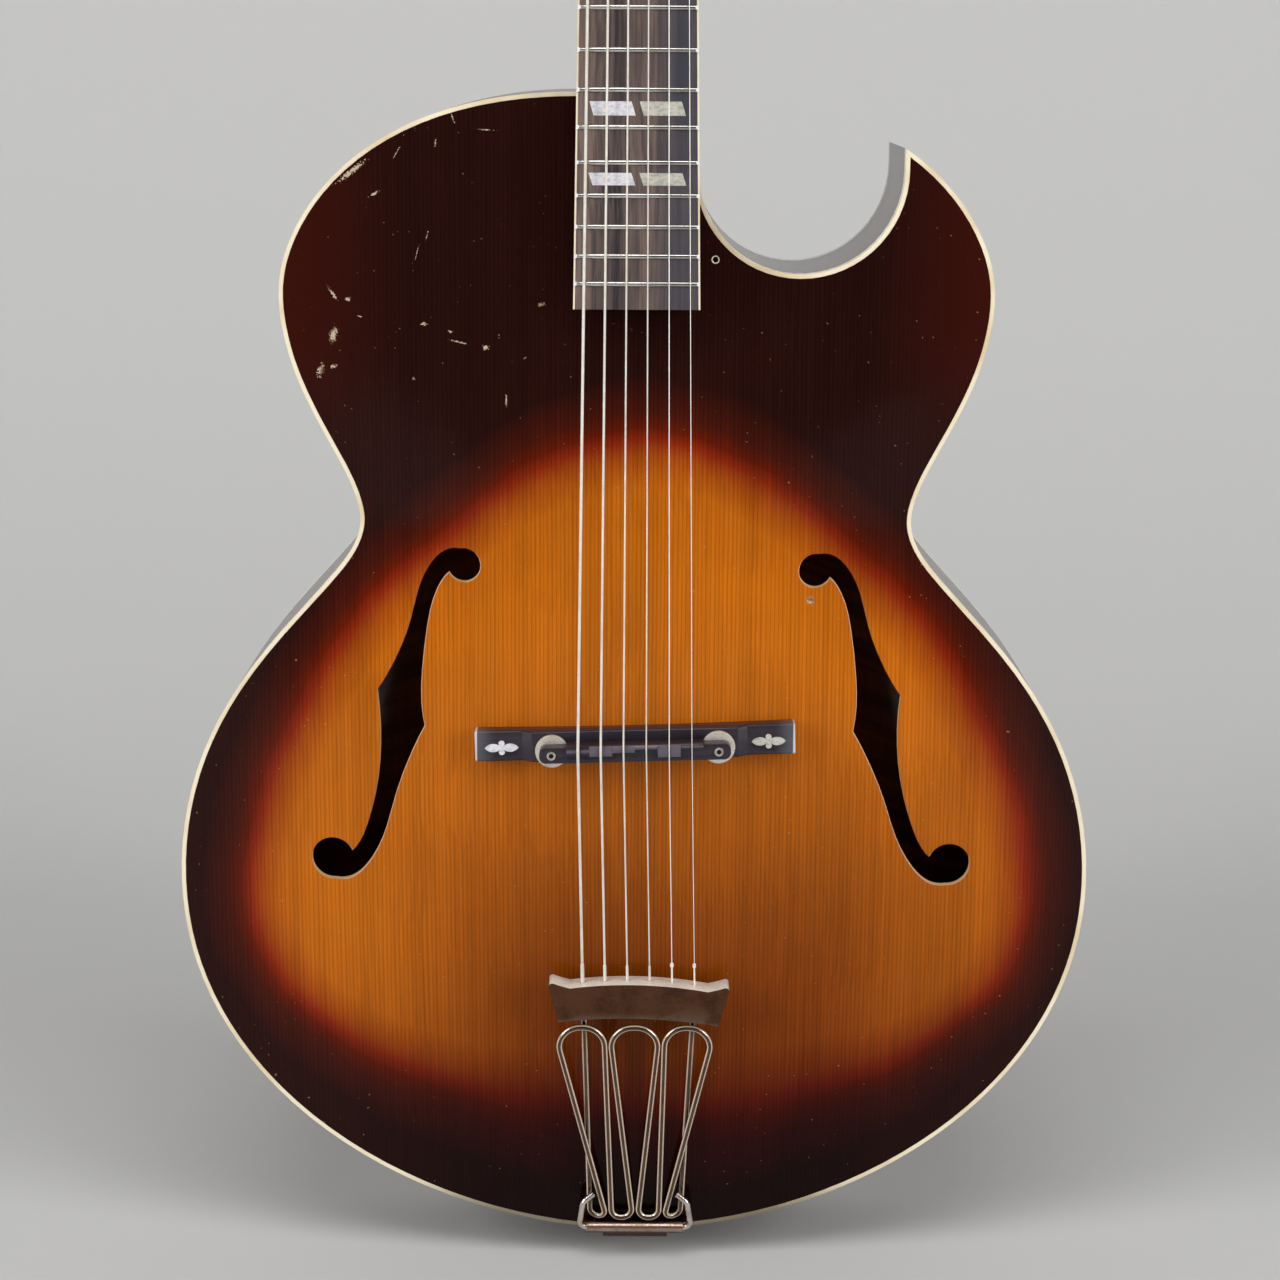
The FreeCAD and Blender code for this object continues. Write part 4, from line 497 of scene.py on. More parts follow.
def rim_glints(tree, x):
    """Mask of the sound holes' rounded rims on the sides that face the lamps, where a pale highlight is
    painted.
    """
    lean = add_node(tree, "ShaderNodeVectorTransform", vector_type="NORMAL", convert_from="WORLD",
                    convert_to="OBJECT")
    tree.links.new(rounded(tree, 0.0007), lean.inputs[0])
    lean_x, _, lean_z = parts_of(tree, lean.outputs[0])
    outward = times(tree, lean_x, reckon(tree, "SIGN", x))
    return ease(tree, plus(tree, outward, times(tree, lean_z, 0.4)), 0.36, 0.6, 0.0, 0.8)


def spruce_top(finish, detail):
    """Aged sunburst lacquer over straight spruce, with the knocks that the top has taken."""
    material, tree, surface = start_material(
        "spruce_sunburst", Roughness=0.42, Specular_IOR_Level=0.0, Coat_Roughness=0.14, Coat_IOR=1.5)
    place = object_place(tree)
    x, _, z = parts_of(tree, place)
    grain = use_group(tree, "Wood grain", Across=(detail.grain_lines, 40.0, 2.0))
    aged = use_group(tree, "Aged tone", Patches=9.0)
    depth = use_group(tree, "Sunburst depth")["Depth"]
    span = reckon(tree, "DIVIDE", plus(tree, depth, 25.0), 65.0, clamp=True)
    tone = spruce_tone(tree, place, x, grain, aged, detail.grain_lines)
    lacquer = blend_colours(tree, 1.0, ramp(tree, span, burst_colours(finish)), tone, "MULTIPLY")
    # Darker lower middle below the tailpiece: partly the burst's own tone, partly painted shade of the
    # tailpiece
    between = ease(tree, size_of(tree, minus(tree, x, 0.02)), 0.05, 0.18, 1.0, 0.0)
    lower_middle_tone_and_shade = times(tree, between, ease(tree, z, 0.10, 0.29, 1.0, 0.0))
    lacquer = blend_colours(tree, lower_middle_tone_and_shade, lacquer, (0.40, 0.30, 0.45), "MULTIPLY")
    shoulders = times(tree, ease(tree, size_of(tree, x), 0.10, 0.155), ease(tree, z, 0.36, 0.42))
    lacquer = blend_colours(tree, shoulders, lacquer, (0.036, 0.005, 0.003))
    specks = ease(tree, speckle(tree, place, 640.0, 1.0), 0.775, 0.81, 0.0, 0.35)
    lacquer = blend_colours(tree, specks, lacquer, finish.bare_wood)
    chips = top_chips(tree)
    ragged = ease(tree, aged["Fine"], 0.38, 0.55, 0.0, 1.0)
    bare = blend_colours(tree, ragged, (0.16, 0.10, 0.06), finish.chipped)
    lacquer = blend_colours(tree, chips, lacquer, bare)
    flat = steer(tree, "MULTIPLY", place, (1.0, 0.0, 1.0))
    out = steer(tree, "DISTANCE", flat, SCREW_HOLE)
    wear_and_highlight = ease(tree, aged["Fine"], 0.3, 0.6, 0.5, 1.0)
    ring = times(tree, ease(tree, out, HOLE_EDGE, HOLE_RIM, 1.0, 0.0), wear_and_highlight)
    lacquer = blend_colours(tree, ring, lacquer, finish.cream)
    facing = object_facing(tree)["Y"]
    wall = ease(tree, size_of(tree, facing), 0.35, 0.6, 1.0, 0.0)
    # Painted shade: the screw hole's wall is nearly black, the other walls show bare wood
    hole_shade_and_bare_wall = blend_colours(tree, ease(tree, out, HOLE_WALL, HOLE_EDGE), (0.012, 0.009, 0.007), finish.bare_wood)
    lacquer = blend_colours(tree, wall, lacquer, hole_shade_and_bare_wall)
    under = ease(tree, facing, 0.5, 0.7)
    lacquer = blend_colours(tree, under, lacquer, finish.bare_wood)
    # Painted highlight: a pale cream line on the sound holes' rims where they face the side and upper lamps
    rim_glint = times(tree, rim_glints(tree, x), minus(tree, 1.0, wall))
    rim_glint = times(tree, rim_glint, ease(tree, depth, -14.0, -4.0))
    lacquer = blend_colours(tree, rim_glint, lacquer, finish.cream)
    feed(tree, surface["Base Color"], lacquer)
    dull = larger(tree, chips, larger(tree, wall, under))
    feed(tree, surface["Coat Weight"], times(tree, minus(tree, 1.0, dull), 0.22))
    relief = minus(tree, times(tree, grain["Lines"], 0.25), chips)
    feed(tree, surface["Normal"], bumped(tree, relief, 0.25, 0.0002, rounded(tree, 0.0005)))
    return material


def maple_shell(finish, name, pale):
    """Dark sunburst lacquer over flamed maple, for the back and the sides."""
    material, tree, surface = start_material(
        name, Roughness=0.38, Specular_IOR_Level=0.1, Coat_Roughness=0.1, Coat_IOR=1.5)
    place = object_place(tree)
    x, y, z = parts_of(tree, place)
    slope = times(tree, size_of(tree, x), 0.35)
    flame = add_node(tree, "ShaderNodeCombineXYZ")
    feed(tree, flame.inputs["X"], times(tree, x, 9.0))
    feed(tree, flame.inputs["Y"], times(tree, y, 9.0))
    feed(tree, flame.inputs["Z"], times(tree, plus(tree, z, slope), 130.0))
    bands = ease(tree, speckle(tree, flame.outputs[0], 1.0, 2.0), 0.34, 0.66, 0.62, 1.2)
    grain = use_group(tree, "Wood grain", Across=(420.0, 420.0, 9.0))
    fibres = ease(tree, grain["Lines"], 0.3, 0.7, 0.88, 1.08)
    edge = Vector(finish.burst_edge)
    brown = Vector(finish.ember).lerp(Vector(finish.amber), 0.3)
    if pale:
        depth = use_group(tree, "Sunburst depth", Half_Width=0.185, Middle=0.2, Rise=0.25, Fall=0.15,
                          Upper_Bluntness=1.8)["Depth"]
        span = reckon(tree, "DIVIDE", plus(tree, depth, 30.0), 110.0, clamp=True)
        lacquer = ramp(tree, span, ((0.0, edge), (0.3, edge.lerp(brown, 0.25)), (1.0, brown)))
    else:
        middle = ease(tree, size_of(tree, y), 0.0, 0.036, 1.0, 0.0)
        lacquer = ramp(tree, middle, ((0.0, edge), (1.0, edge.lerp(brown, 0.16))))
    tone = times(tree, bands, fibres)
    feed(tree, surface["Base Color"], blend_colours(tree, 1.0, lacquer, tone, "MULTIPLY"))
    surface["Coat Weight"].default_value = 0.6
    feed(tree, surface["Normal"], bumped(tree, grain["Lines"], 0.12, 0.0001, rounded(tree, 0.0004)))
    return material


def plain_wood(name, colour, dark, across, gloss, roughness, contrast=0.5, glinting_ends=None, sheen_below=None):
    """Wood with lines and streaks, oiled or under a clear coat."""
    material, tree, surface = start_material(
        name, Roughness=roughness, Specular_IOR_Level=0.2, Coat_Weight=gloss, Coat_Roughness=0.12)
    grain = use_group(tree, "Wood grain", Across=across)
    aged = use_group(tree, "Aged tone", Patches=30.0)
    lines = ease(tree, grain["Lines"], 0.5 - contrast * 0.3, 0.5 + contrast * 0.3)
    streaks = ease(tree, grain["Streaks"], 0.35, 0.65)
    share = plus(tree, times(tree, lines, 0.5), times(tree, streaks, 0.5))
    wood = blend_colours(tree, share, dark, colour)
    wear = ease(tree, aged["Tone"], 0.3, 0.7, 0.88, 1.12)
    wood = blend_colours(tree, 1.0, wood, wear, "MULTIPLY")
    # Painted highlights: the bridge foot's ends turn pale, bluish grey at their very tips
    if glinting_ends:
        low, high = glinting_ends[0].x, glinting_ends[1].x
        from_middle = minus(tree, along(tree, "X"), (low + high) / 2)
        reach = reckon(tree, "DIVIDE", size_of(tree, from_middle), (high - low) / 2)
        wood = blend_colours(tree, ease(tree, reach, 0.86, 0.985, 0.0, 0.12), wood, (0.5, 0.52, 0.6))
        wood = blend_colours(tree, ease(tree, reach, 0.981, 0.988, 0.0, 0.8), wood, (0.72, 0.74, 0.78))
    # Painted sheen: a lighter grey-purple band along the saddle's crest, fading out at the given level
    if sheen_below:
        crest = ease(tree, along(tree, "Y"), sheen_below - 0.0004, sheen_below, 0.8, 0.0)
        wood = blend_colours(tree, crest, wood, (0.13, 0.11, 0.14))
    feed(tree, surface["Base Color"], wood)
    feed(tree, surface["Roughness"], ease(tree, grain["Lines"], 0.3, 0.7, roughness + 0.1, roughness - 0.06))
    feed(tree, surface["Normal"], bumped(tree, grain["Lines"], 0.3, 0.00012, rounded(tree, 0.0003)))
    return material


def aged_trim(name, colour, stain, roughness=0.3, gloss=0.4, patches=40.0, shaded_below=None):
    """Old plastic, bone or veneer with stained patches, and painted shade below a level."""
    material, tree, surface = start_material(
        name, Specular_IOR_Level=0.25, Coat_Weight=gloss, Coat_Roughness=0.16)
    aged = use_group(tree, "Aged tone", Patches=patches)
    share = ease(tree, aged["Tone"], 0.42, 0.75, 0.0, 0.75)
    aged_colour = blend_colours(tree, share, colour, stain)
    dust = ease(tree, aged["Fine"], 0.62, 0.75, 0.0, 0.35)
    aged_colour = blend_colours(tree, dust, aged_colour, stain)
    # Painted shade: darker towards the bottom, below the given height
    if shaded_below:
        painted_shade = ease(tree, along(tree, "Z"), 0.25 * shaded_below, shaded_below, 0.85, 0.0)
        aged_colour = blend_colours(tree, painted_shade, aged_colour, (0.10, 0.075, 0.05))
    feed(tree, surface["Base Color"], aged_colour)
    feed(tree, surface["Roughness"], ease(tree, aged["Fine"], 0.3, 0.7, roughness - 0.06, roughness + 0.12))
    feed(tree, surface["Normal"], bumped(tree, aged["Fine"], 0.06, 0.0001, rounded(tree, 0.0004)))
    return material


def pearl_shell():
    """Pearl with soft bands of grey, rose and green."""
    material, tree, surface = start_material("pearl", Roughness=0.22, Coat_Weight=0.6, Coat_Roughness=0.06)
    place = object_place(tree)
    layers = speckle(tree, steer(tree, "MULTIPLY", place, (220.0, 120.0, 420.0)), 1.0, 4.0, 0.6)
    sheen = ramp(tree, layers, (
        (0.25, (0.40, 0.40, 0.46)), (0.42, (0.62, 0.60, 0.66)), (0.5, (0.80, 0.76, 0.82)),
        (0.58, (0.62, 0.64, 0.66)), (0.75, (0.44, 0.42, 0.48))))
    turn = ease(tree, parts_of(tree, place)["X"], -0.002, 0.003)
    feed(tree, surface["Base Color"], blend_colours(
        tree, turn, sheen, blend_colours(tree, 1.0, sheen, (0.72, 0.72, 0.58), "MULTIPLY")))
    feed(tree, surface["Normal"], bumped(tree, layers, 0.05, 0.0002, rounded(tree, 0.0002)))
    return material


def plated(name, clean, dull, smooth, rough, patches=120.0, metallic=1.0, shaded_below=None):
    """Plated metal with dull patches, and painted shade below a level."""
    material, tree, surface = start_material(name, Metallic=metallic)
    metal = tarnished(tree, clean, dull, patches, smooth, rough)
    colour = metal["Colour"]
    # Painted shade: darker towards the bottom, below the given height
    if shaded_below:
        painted_shade = ease(tree, along(tree, "Z"), shaded_below - 0.8 * MM, shaded_below, 1.0, 0.0)
        colour = blend_colours(tree, painted_shade, colour, (0.09, 0.06, 0.045))
    feed(tree, surface["Base Color"], colour)
    roughen(tree, surface, metal)
    return material


def crossbar_plate(finish):
    """Dark satin front of the crossbar, with a pale highlight painted on its upper wall, its lower edge and
    its ends.
    """
    material, tree, surface = start_material("bar_bronze")
    metal = tarnished(tree, (0.13, 0.056, 0.028), (0.07, 0.029, 0.015), 90.0, 0.34, 0.5)
    x = along(tree, "X")
    facing = object_facing(tree)
    # Painted highlights: the upward-facing wall, the ends and the lower edge turn pale and less metallic
    upper = ease(tree, facing["Z"], 0.45, 0.75)
    sideways = ease(tree, size_of(tree, facing["X"]), 0.6, 0.85, 0.0, 0.7)
    ends = times(tree, sideways, ease(tree, size_of(tree, x), 0.034, 0.037))
    lower = ease(tree, facing["Z"], -0.5, -0.25, 0.35, 0.0)
    wear_and_highlight = larger(tree, larger(tree, upper, lower), ends)
    patchy_highlight = times(tree, wear_and_highlight, ease(tree, metal["Share"], 0.0, 1.0, 1.0, 0.8))
    feed(tree, surface["Base Color"], blend_colours(tree, patchy_highlight, metal["Colour"], finish.pale_metal_and_highlight))
    feed(tree, surface["Metallic"], ease(tree, wear_and_highlight, 0.0, 1.0, 0.9, 0.25))
    roughen(tree, surface, metal)
    return material


def fret_wire():
    """Fret wire, with painted glints on its ends, and duller towards the thin strings."""
    material, tree, surface = start_material("fret_metal")
    metal = tarnished(tree, (0.80, 0.78, 0.74), (0.58, 0.55, 0.50), 160.0, 0.14, 0.28)
    x = along(tree, "X")
    played = ease(tree, x, -0.004, 0.014, 1.0, 0.62)
    colour = blend_colours(tree, 1.0, metal["Colour"], played, "MULTIPLY")
    facing = object_facing(tree)["X"]
    # Painted glints: the fret ends are near white and hardly metallic
    end_glint = ease(tree, size_of(tree, facing), 0.2, 0.45)
    feed(tree, surface["Base Color"], blend_colours(tree, end_glint, colour, (0.95, 0.94, 0.96)))
    feed(tree, surface["Metallic"], ease(tree, end_glint, 0.0, 1.0, 1.0, 0.1))
    feed(tree, surface["Roughness"], metal["Roughness"])
    feed(tree, surface["Normal"], bumped(tree, metal["Share"], 0.05, 0.0001))
    return material


def glinting_wire(finish):
    """Bronze wire, dark along its face, with painted highlights along its sides."""
    material, tree, surface = start_material("wire_bronze")
    bronze = Vector(finish.bronze)
    metal = tarnished(tree, bronze * 0.42, bronze * 0.26, 150.0, 0.1, 0.2)
    facing = object_facing(tree)["Y"]
    # Painted highlights: two pale, less metallic lines along the wire's sides, where side lamps would glint
    side_glints = times(tree, ease(tree, facing, -0.93, -0.80), ease(tree, facing, -0.5, -0.3, 1.0, 0.0))
    feed(tree, surface["Base Color"], blend_colours(tree, side_glints, metal["Colour"], finish.wire_glint_colour))
    feed(tree, surface["Metallic"], ease(tree, side_glints, 0.0, 1.0, 1.0, 0.3))
    feed(tree, surface["Roughness"], metal["Roughness"])
    return material


def post_metal(finish):
    """Threaded post, with a dark disc of painted shade in the middle of its top."""
    material, tree, surface = start_material("post_nickel", Metallic=0.9)
    nickel = Vector(finish.nickel)
    metal = tarnished(tree, nickel, nickel * 0.55, 120.0, 0.2, 0.4)
    low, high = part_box("bridge_posts")
    flat = steer(tree, "MULTIPLY", object_place(tree), (1.0, 0.0, 1.0))
    bass = steer(tree, "DISTANCE", flat, (low.x + POST_RADIUS, 0.0, low.z + POST_RADIUS))
    treble = steer(tree, "DISTANCE", flat, (high.x - POST_RADIUS, 0.0, high.z - POST_RADIUS))
    # Painted shade: a dark disc round each post's axis in its top
    hollow_shade = ease(tree, reckon(tree, "MINIMUM", bass, treble), 0.0009, 0.0012, 1.0, 0.0)
    feed(tree, surface["Base Color"], blend_colours(tree, hollow_shade, metal["Colour"], (0.02, 0.018, 0.018)))
    roughen(tree, surface, metal)
    return material


def string_wire(name, clean, dull, pitch):
    """Bright wire; a wound string shows its turns."""
    material, tree, surface = start_material(name, Metallic=0.15)
    metal = tarnished(tree, clean, dull, 60.0, 0.28, 0.42)
    colour = metal["Colour"]
    if pitch:
        turns = reckon(tree, "SINE", times(tree, along(tree, "Z"), 2 * math.pi / pitch))
        # Painted shade: darker in the grooves between the turns
        groove_shade = ease(tree, turns, -1.0, 0.2, 0.55, 1.0)
        colour = blend_colours(tree, 1.0, colour, groove_shade, "MULTIPLY")
        feed(tree, surface["Normal"], bumped(tree, turns, 0.5, 0.0001))
    feed(tree, surface["Base Color"], colour)
    feed(tree, surface["Roughness"], metal["Roughness"])
    return material


def fingerboard_wood(finish):
    """Rosewood lightened threefold as a painted satin sheen, and greyer towards the thin strings."""
    # Painted sheen: the board's rosewood colour is tripled
    material = plain_wood("rosewood_board", Vector(finish.rosewood) * 3.0, (0.030, 0.026, 0.032),
                          (620.0, 260.0, 4.0), 0.1, 0.36, 0.45)
    tree = material.node_tree
    colour = tree.nodes["Principled BSDF"].inputs["Base Color"]
    side = ease(tree, along(tree, "X"), 0.005, 0.015, 0.0, 0.7)
    feed(tree, colour, blend_colours(tree, side, colour.links[0].from_socket, (0.05, 0.052, 0.068)))
    return material


def studio_paper(tone):
    """Matt paper that is clear from behind, so that the backdrop hides nothing in a view of the back."""
    material, tree, surface = start_material("studio_paper", Roughness=0.8)
    aged = use_group(tree, "Aged tone", Patches=1.5)
    cool, warm = (tone * 0.98,) * 3, (tone, tone * 0.99, tone * 0.97)
    feed(tree, surface["Base Color"], blend_colours(tree, aged["Tone"], cool, warm))
    clear = add_node(tree, "ShaderNodeBsdfTransparent")
    behind = add_node(tree, "ShaderNodeMixShader")
    tree.links.new(add_node(tree, "ShaderNodeNewGeometry").outputs["Backfacing"], behind.inputs[0])
    tree.links.new(tree.nodes["Principled BSDF"].outputs[0], behind.inputs[1])
    tree.links.new(clear.outputs[0], behind.inputs[2])
    tree.links.new(behind.outputs[0], tree.nodes["Material Output"].inputs["Surface"])
    return material


def dress(material, slot, *nodes):
    """Gives CAD nodes, or pieces that stand for them, their finish."""
    for item in nodes:
        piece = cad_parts[item] if isinstance(item, str) else item
        if piece.material_slots:
            piece.material_slots[0].material = material
        else:
            piece.data.materials.append(material)


# Modelling

def settle():
    """Leaves edit mode with nothing selected, so the next step acts on its own piece alone."""
    if bpy.context.object and bpy.context.object.mode != "OBJECT":
        bpy.ops.object.mode_set(mode="OBJECT")
    bpy.ops.object.select_all(action="DESELECT")


def choose(piece):
    settle()
    piece.select_set(True)
    bpy.context.view_layer.objects.active = piece


def fix_place():
    bpy.ops.object.transform_apply(location=True, rotation=True, scale=True)


def open_mesh(piece):
    """Opens a piece for editing, all selected and with doubles merged."""
    choose(piece)
    bpy.ops.object.mode_set(mode="EDIT")
    bpy.ops.mesh.select_all(action="SELECT")
    bpy.ops.mesh.remove_doubles(threshold=MERGE_DISTANCE)


def close_mesh(piece):
    """Merges doubles, turns faces outwards and smooths the round parts."""
    open_mesh(piece)
    bpy.ops.mesh.normals_make_consistent(inside=False)
    bpy.ops.object.mode_set(mode="OBJECT")
    bpy.ops.object.shade_smooth_by_angle(angle=SMOOTH_ANGLE)


def softened(node, name, rounding):
    """A copy of a CAD node with its sharp edges rounded over."""
    piece = bpy.data.objects.new(name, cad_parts[node].data.copy())
    bpy.context.scene.collection.objects.link(piece)
    open_mesh(piece)
    bpy.ops.mesh.customdata_custom_splitnormals_clear()
    bpy.ops.mesh.dissolve_limited(angle_limit=FLAT_ANGLE)
    bpy.ops.object.mode_set(mode="OBJECT")
    bevel = piece.modifiers.new("Edges", "BEVEL")
    bevel.width = rounding
    bevel.segments = 2
    bevel.limit_method = "ANGLE"
    bevel.angle_limit = SHARP_ANGLE
    bpy.ops.object.modifier_apply(modifier=bevel.name)
    bpy.ops.object.shade_smooth_by_angle(angle=SMOOTH_ANGLE)
    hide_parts(node)
    return piece


def wire_run(name, places, radius, sides, parts):
    """A round wire through the places, with rings along each run so that it can bend."""
    settle()
    start = Vector(places[0])
    lead = Vector(places[1]) - start
    bpy.ops.mesh.primitive_circle_add(
        vertices=sides, radius=radius, fill_type="NGON", location=start,
        rotation=lead.to_track_quat("Z", "Y").to_euler())
    piece = bpy.context.object
    piece.name = name
    piece.data.name = name
    fix_place()
    bpy.ops.object.mode_set(mode="EDIT")
    bpy.ops.mesh.select_all(action="SELECT")
    for here, there in zip(places, places[1:]):
        step = (Vector(there) - Vector(here)) / parts
        for _ in range(parts):
            bpy.ops.mesh.extrude_region_move(TRANSFORM_OT_translate={"value": step})
    close_mesh(piece)
    return piece


class GUITAR_OT_finish_body(bpy.types.Operator):
    """Lacquer the soundboard, back and sides, and finish the binding and the inside"""
    bl_idname = "guitar.finish_body"
    bl_label = "Finish the body"

    def execute(self, context):
        finish, detail = context.scene.guitar_finish, context.scene.guitar_detail
        dress(spruce_top(finish, detail), "spruce_sunburst", "soundboard")
        dress(maple_shell(finish, "maple_back", True), "maple_sunburst", "back_plate")
        dress(maple_shell(finish, "maple_sides", False), "maple_sunburst", "side_bass", "side_treble")
        cream = aged_trim("cream_binding", finish.cream, (0.62, 0.46, 0.24), patches=25.0)
        dress(cream, "cream_binding", "back_binding", "fingerboard_binding")
        # The top binding gets painted shade towards the tail
        rim = aged_trim("top_binding_cream", finish.cream, (0.62, 0.46, 0.24), patches=25.0, shaded_below=0.03)
        dress(rim, "cream_binding", "top_binding")
        inside = plain_wood("bare_spruce", finish.bare_wood, (0.34, 0.20, 0.09), (500.0, 200.0, 6.0),
                            0.0, 0.7)
        dress(inside, "bare_spruce", "neck_block", "tail_block", "linings", "tone_bars")
        pin = aged_trim("end_pin_cream", Vector(finish.cream) * 0.92, (0.45, 0.30, 0.13), patches=120.0)
        dress(pin, "end_pin_cream", "end_pin")
        return {"FINISHED"}


class GUITAR_OT_finish_neck(bpy.types.Operator):
    """Finish the neck, fingerboard, frets, inlays and nut"""
    bl_idname = "guitar.finish_neck"
    bl_label = "Finish the neck"

    def execute(self, context):
        finish = context.scene.guitar_finish
        brown = Vector(finish.burst_edge).lerp(Vector(finish.ember), 0.3)
        neck = plain_wood("neck_finish", brown, Vector(finish.burst_edge), (300.0, 300.0, 7.0), 1.0, 0.4)
        dress(neck, "neck_finish", "neck")
        cap = aged_trim("heel_black", (0.02, 0.019, 0.018), (0.045, 0.042, 0.04), 0.3, 0.6)
        dress(cap, "heel_black", "heel_cap")
        dress(fingerboard_wood(finish), "rosewood", "fingerboard")
        dress(fret_wire(), "fret_metal", "frets")
        dress(pearl_shell(), "pearl", "position_inlays", "bridge_inlays")
        dress(aged_trim("bone", (0.76, 0.70, 0.54), (0.5, 0.38, 0.2), 0.4, 0.2, 160.0), "bone", "nut")
        steel = plated("tool_steel", (0.5, 0.5, 0.5), (0.32, 0.30, 0.28), 0.3, 0.5, 90.0)
        dress(steel, "tool_steel", "truss_rod")
        return {"FINISHED"}


class GUITAR_OT_finish_head(bpy.types.Operator):
    """Finish the head's face, its cover and the six tuners"""
    bl_idname = "guitar.finish_head"
    bl_label = "Finish the head"

    def execute(self, context):
        finish = context.scene.guitar_finish
        face = aged_trim("black_veneer", (0.012, 0.011, 0.011), (0.028, 0.024, 0.022), 0.34, 0.3, 4.0)
        dress(face, "black_veneer", "headstock_veneer", "truss_rod_cover")
        nickel = plated("nickel", finish.nickel, Vector(finish.nickel) * 0.6, 0.18, 0.4)
        dress(nickel, "nickel", "tuner_housings", "tuner_bushings", "head_screws")
        button = aged_trim("button_cream", Vector(finish.cream) * 0.97, (0.5, 0.34, 0.15), 0.28, 0.5, 110.0)
        for number in range(1, 7):
            dress(nickel, "nickel", f"tuner_post_{number}", f"tuner_worm_{number}")
            dress(button, "button_cream", f"tuner_button_{number}")
        return {"FINISHED"}


class GUITAR_OT_build_bridge(bpy.types.Operator):
    """Round the edges of the bridge and finish it with its posts and wheels"""
    bl_idname = "guitar.build_bridge"
    bl_label = "Build the bridge"

    def execute(self, context):
        finish, detail = context.scene.guitar_finish, context.scene.guitar_detail
        ebony = Vector(finish.ebony)
        tones = (ebony * 1.2, ebony * 0.5, (14.0, 420.0, 420.0), 0.3, 0.34, 0.6)
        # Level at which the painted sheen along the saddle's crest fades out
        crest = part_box("bridge_saddle")[0].y + 1.4 * MM
        saddle_wood = plain_wood("ebony_saddle", *tones, sheen_below=crest)
        base = softened("bridge_base", "bridge_foot", detail.edge_rounding)
        saddle = softened("bridge_saddle", "bridge_top", detail.edge_rounding * 0.6)
        # The foot's two ends get painted highlights
        foot_wood = plain_wood("ebony_foot", *tones, glinting_ends=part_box("bridge_base"))
        dress(foot_wood, "rosewood", base)
        dress(saddle_wood, "rosewood", saddle)
        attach(base, "guitar")
        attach(saddle, "bridge_saddle")
        dress(post_metal(finish), "nickel", "bridge_posts")
        pale = Vector(finish.pale_metal_and_highlight)
        wheels = plated("wheel_nickel", pale, pale * 0.7, 0.25, 0.45, 200.0, metallic=0.45)
        for side in ("bass", "treble"):
            wheel = softened(f"thumbwheel_{side}", f"height_wheel_{side}", detail.edge_rounding * 0.5)
            dress(wheels, "nickel", wheel)
            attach(wheel, f"thumbwheel_{side}")
        return {"FINISHED"}


class GUITAR_OT_build_tailpiece(bpy.types.Operator):
    """Round the tailpiece bar's edges and finish the tailpiece with its bracket"""
    bl_idname = "guitar.build_tailpiece"
    bl_label = "Build the tailpiece"

    def execute(self, context):
        finish, detail = context.scene.guitar_finish, context.scene.guitar_detail
        bronze = Vector(finish.bronze)
        bar = softened("tailpiece_bar", "tailpiece_crossbar", detail.edge_rounding)
        dress(crossbar_plate(finish), "tail_bronze", bar)
        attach(bar, "tailpiece")
        dress(glinting_wire(finish), "tail_bronze", "tailpiece_wires")
        pin_metal = plated("pin_nickel", (0.78, 0.72, 0.68), (0.56, 0.46, 0.40), 0.14, 0.3, 150.0)
        dress(pin_metal, "tail_bronze", "tailpiece_hinge_pin", "tail_screws")
        # The bracket's plate below the hinge gets painted shade
        bracket_metal = plated("bracket_bronze", (0.52, 0.38, 0.32), bronze * 0.7, 0.26, 0.42, 90.0,
                               shaded_below=0.0022)
        dress(bracket_metal, "tail_bronze", "tailpiece_bracket")
        return {"FINISHED"}


class GUITAR_OT_string_up(bpy.types.Operator):
    """String the guitar with round wires that bend at the bridge and follow the tailpiece"""
    bl_idname = "guitar.string_up"
    bl_label = "String up"

    def add_ball_end(self, tail, saddle, ball, radius, knotted):
        """The ball inside the crossbar, and the twist that ties the string round it with its last turns."""
        lead = (saddle - ball).normalized()
        top = ball + lead * TWIST_LENGTH
        tied = [wire_run("twist", (ball + lead * BALL_RADIUS, top), radius + TWIST_EXTRA, 10, 6)]
        if knotted:
            tied.append(wire_run("knot", (top, top + lead * KNOT_LENGTH), radius + KNOT_EXTRA, 10, 2))
        settle()
        bpy.ops.mesh.primitive_cylinder_add(
            vertices=20, radius=BALL_RADIUS, depth=BALL_LENGTH, location=ball, rotation=(0, math.pi / 2, 0))
        end = bpy.context.object
        fix_place()
        settle()
        for piece in (*tied, end, tail):
            piece.select_set(True)
        bpy.context.view_layer.objects.active = tail
        bpy.ops.object.join()
        close_mesh(tail)

    def execute(self, context):
        detail = context.scene.guitar_detail
        plain = string_wire("string_plain", (0.98, 0.96, 0.90), (0.84, 0.80, 0.72), 0.0)
        wound = string_wire("string_wound", (0.98, 0.95, 0.87), (0.82, 0.75, 0.62), detail.winding_pitch)
        for number, (ball, saddle, nut, post, diameter) in enumerate(STRING_ROUTES, 1):
            radius = diameter * MM / 2
            ball, saddle, nut, post = (Vector(p) for p in (ball, saddle, nut, post))
            middle = saddle.lerp(ball, TAIL_START)
            is_plain = number <= PLAIN_STRINGS
            slot = "string_steel" if is_plain else "string_wound"
            metal = plain if is_plain else wound
            speaking = wire_run(f"string_{number}_speaking", (saddle, nut, post), radius,
                                detail.string_sides, detail.string_parts)
            behind = wire_run(f"string_{number}_behind_bridge", (saddle, middle), radius,
                              detail.string_sides, detail.string_parts // 2)
            tail = wire_run(f"string_{number}_tail", (middle, ball), radius,
                            detail.string_sides, detail.string_parts // 2)
            self.add_ball_end(tail, saddle, ball, radius, is_plain)
            dress(metal, slot, speaking, behind, tail)
            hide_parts(f"string_{number}")
            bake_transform(speaking)
            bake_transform(behind)
            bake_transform(tail)
        return {"FINISHED"}


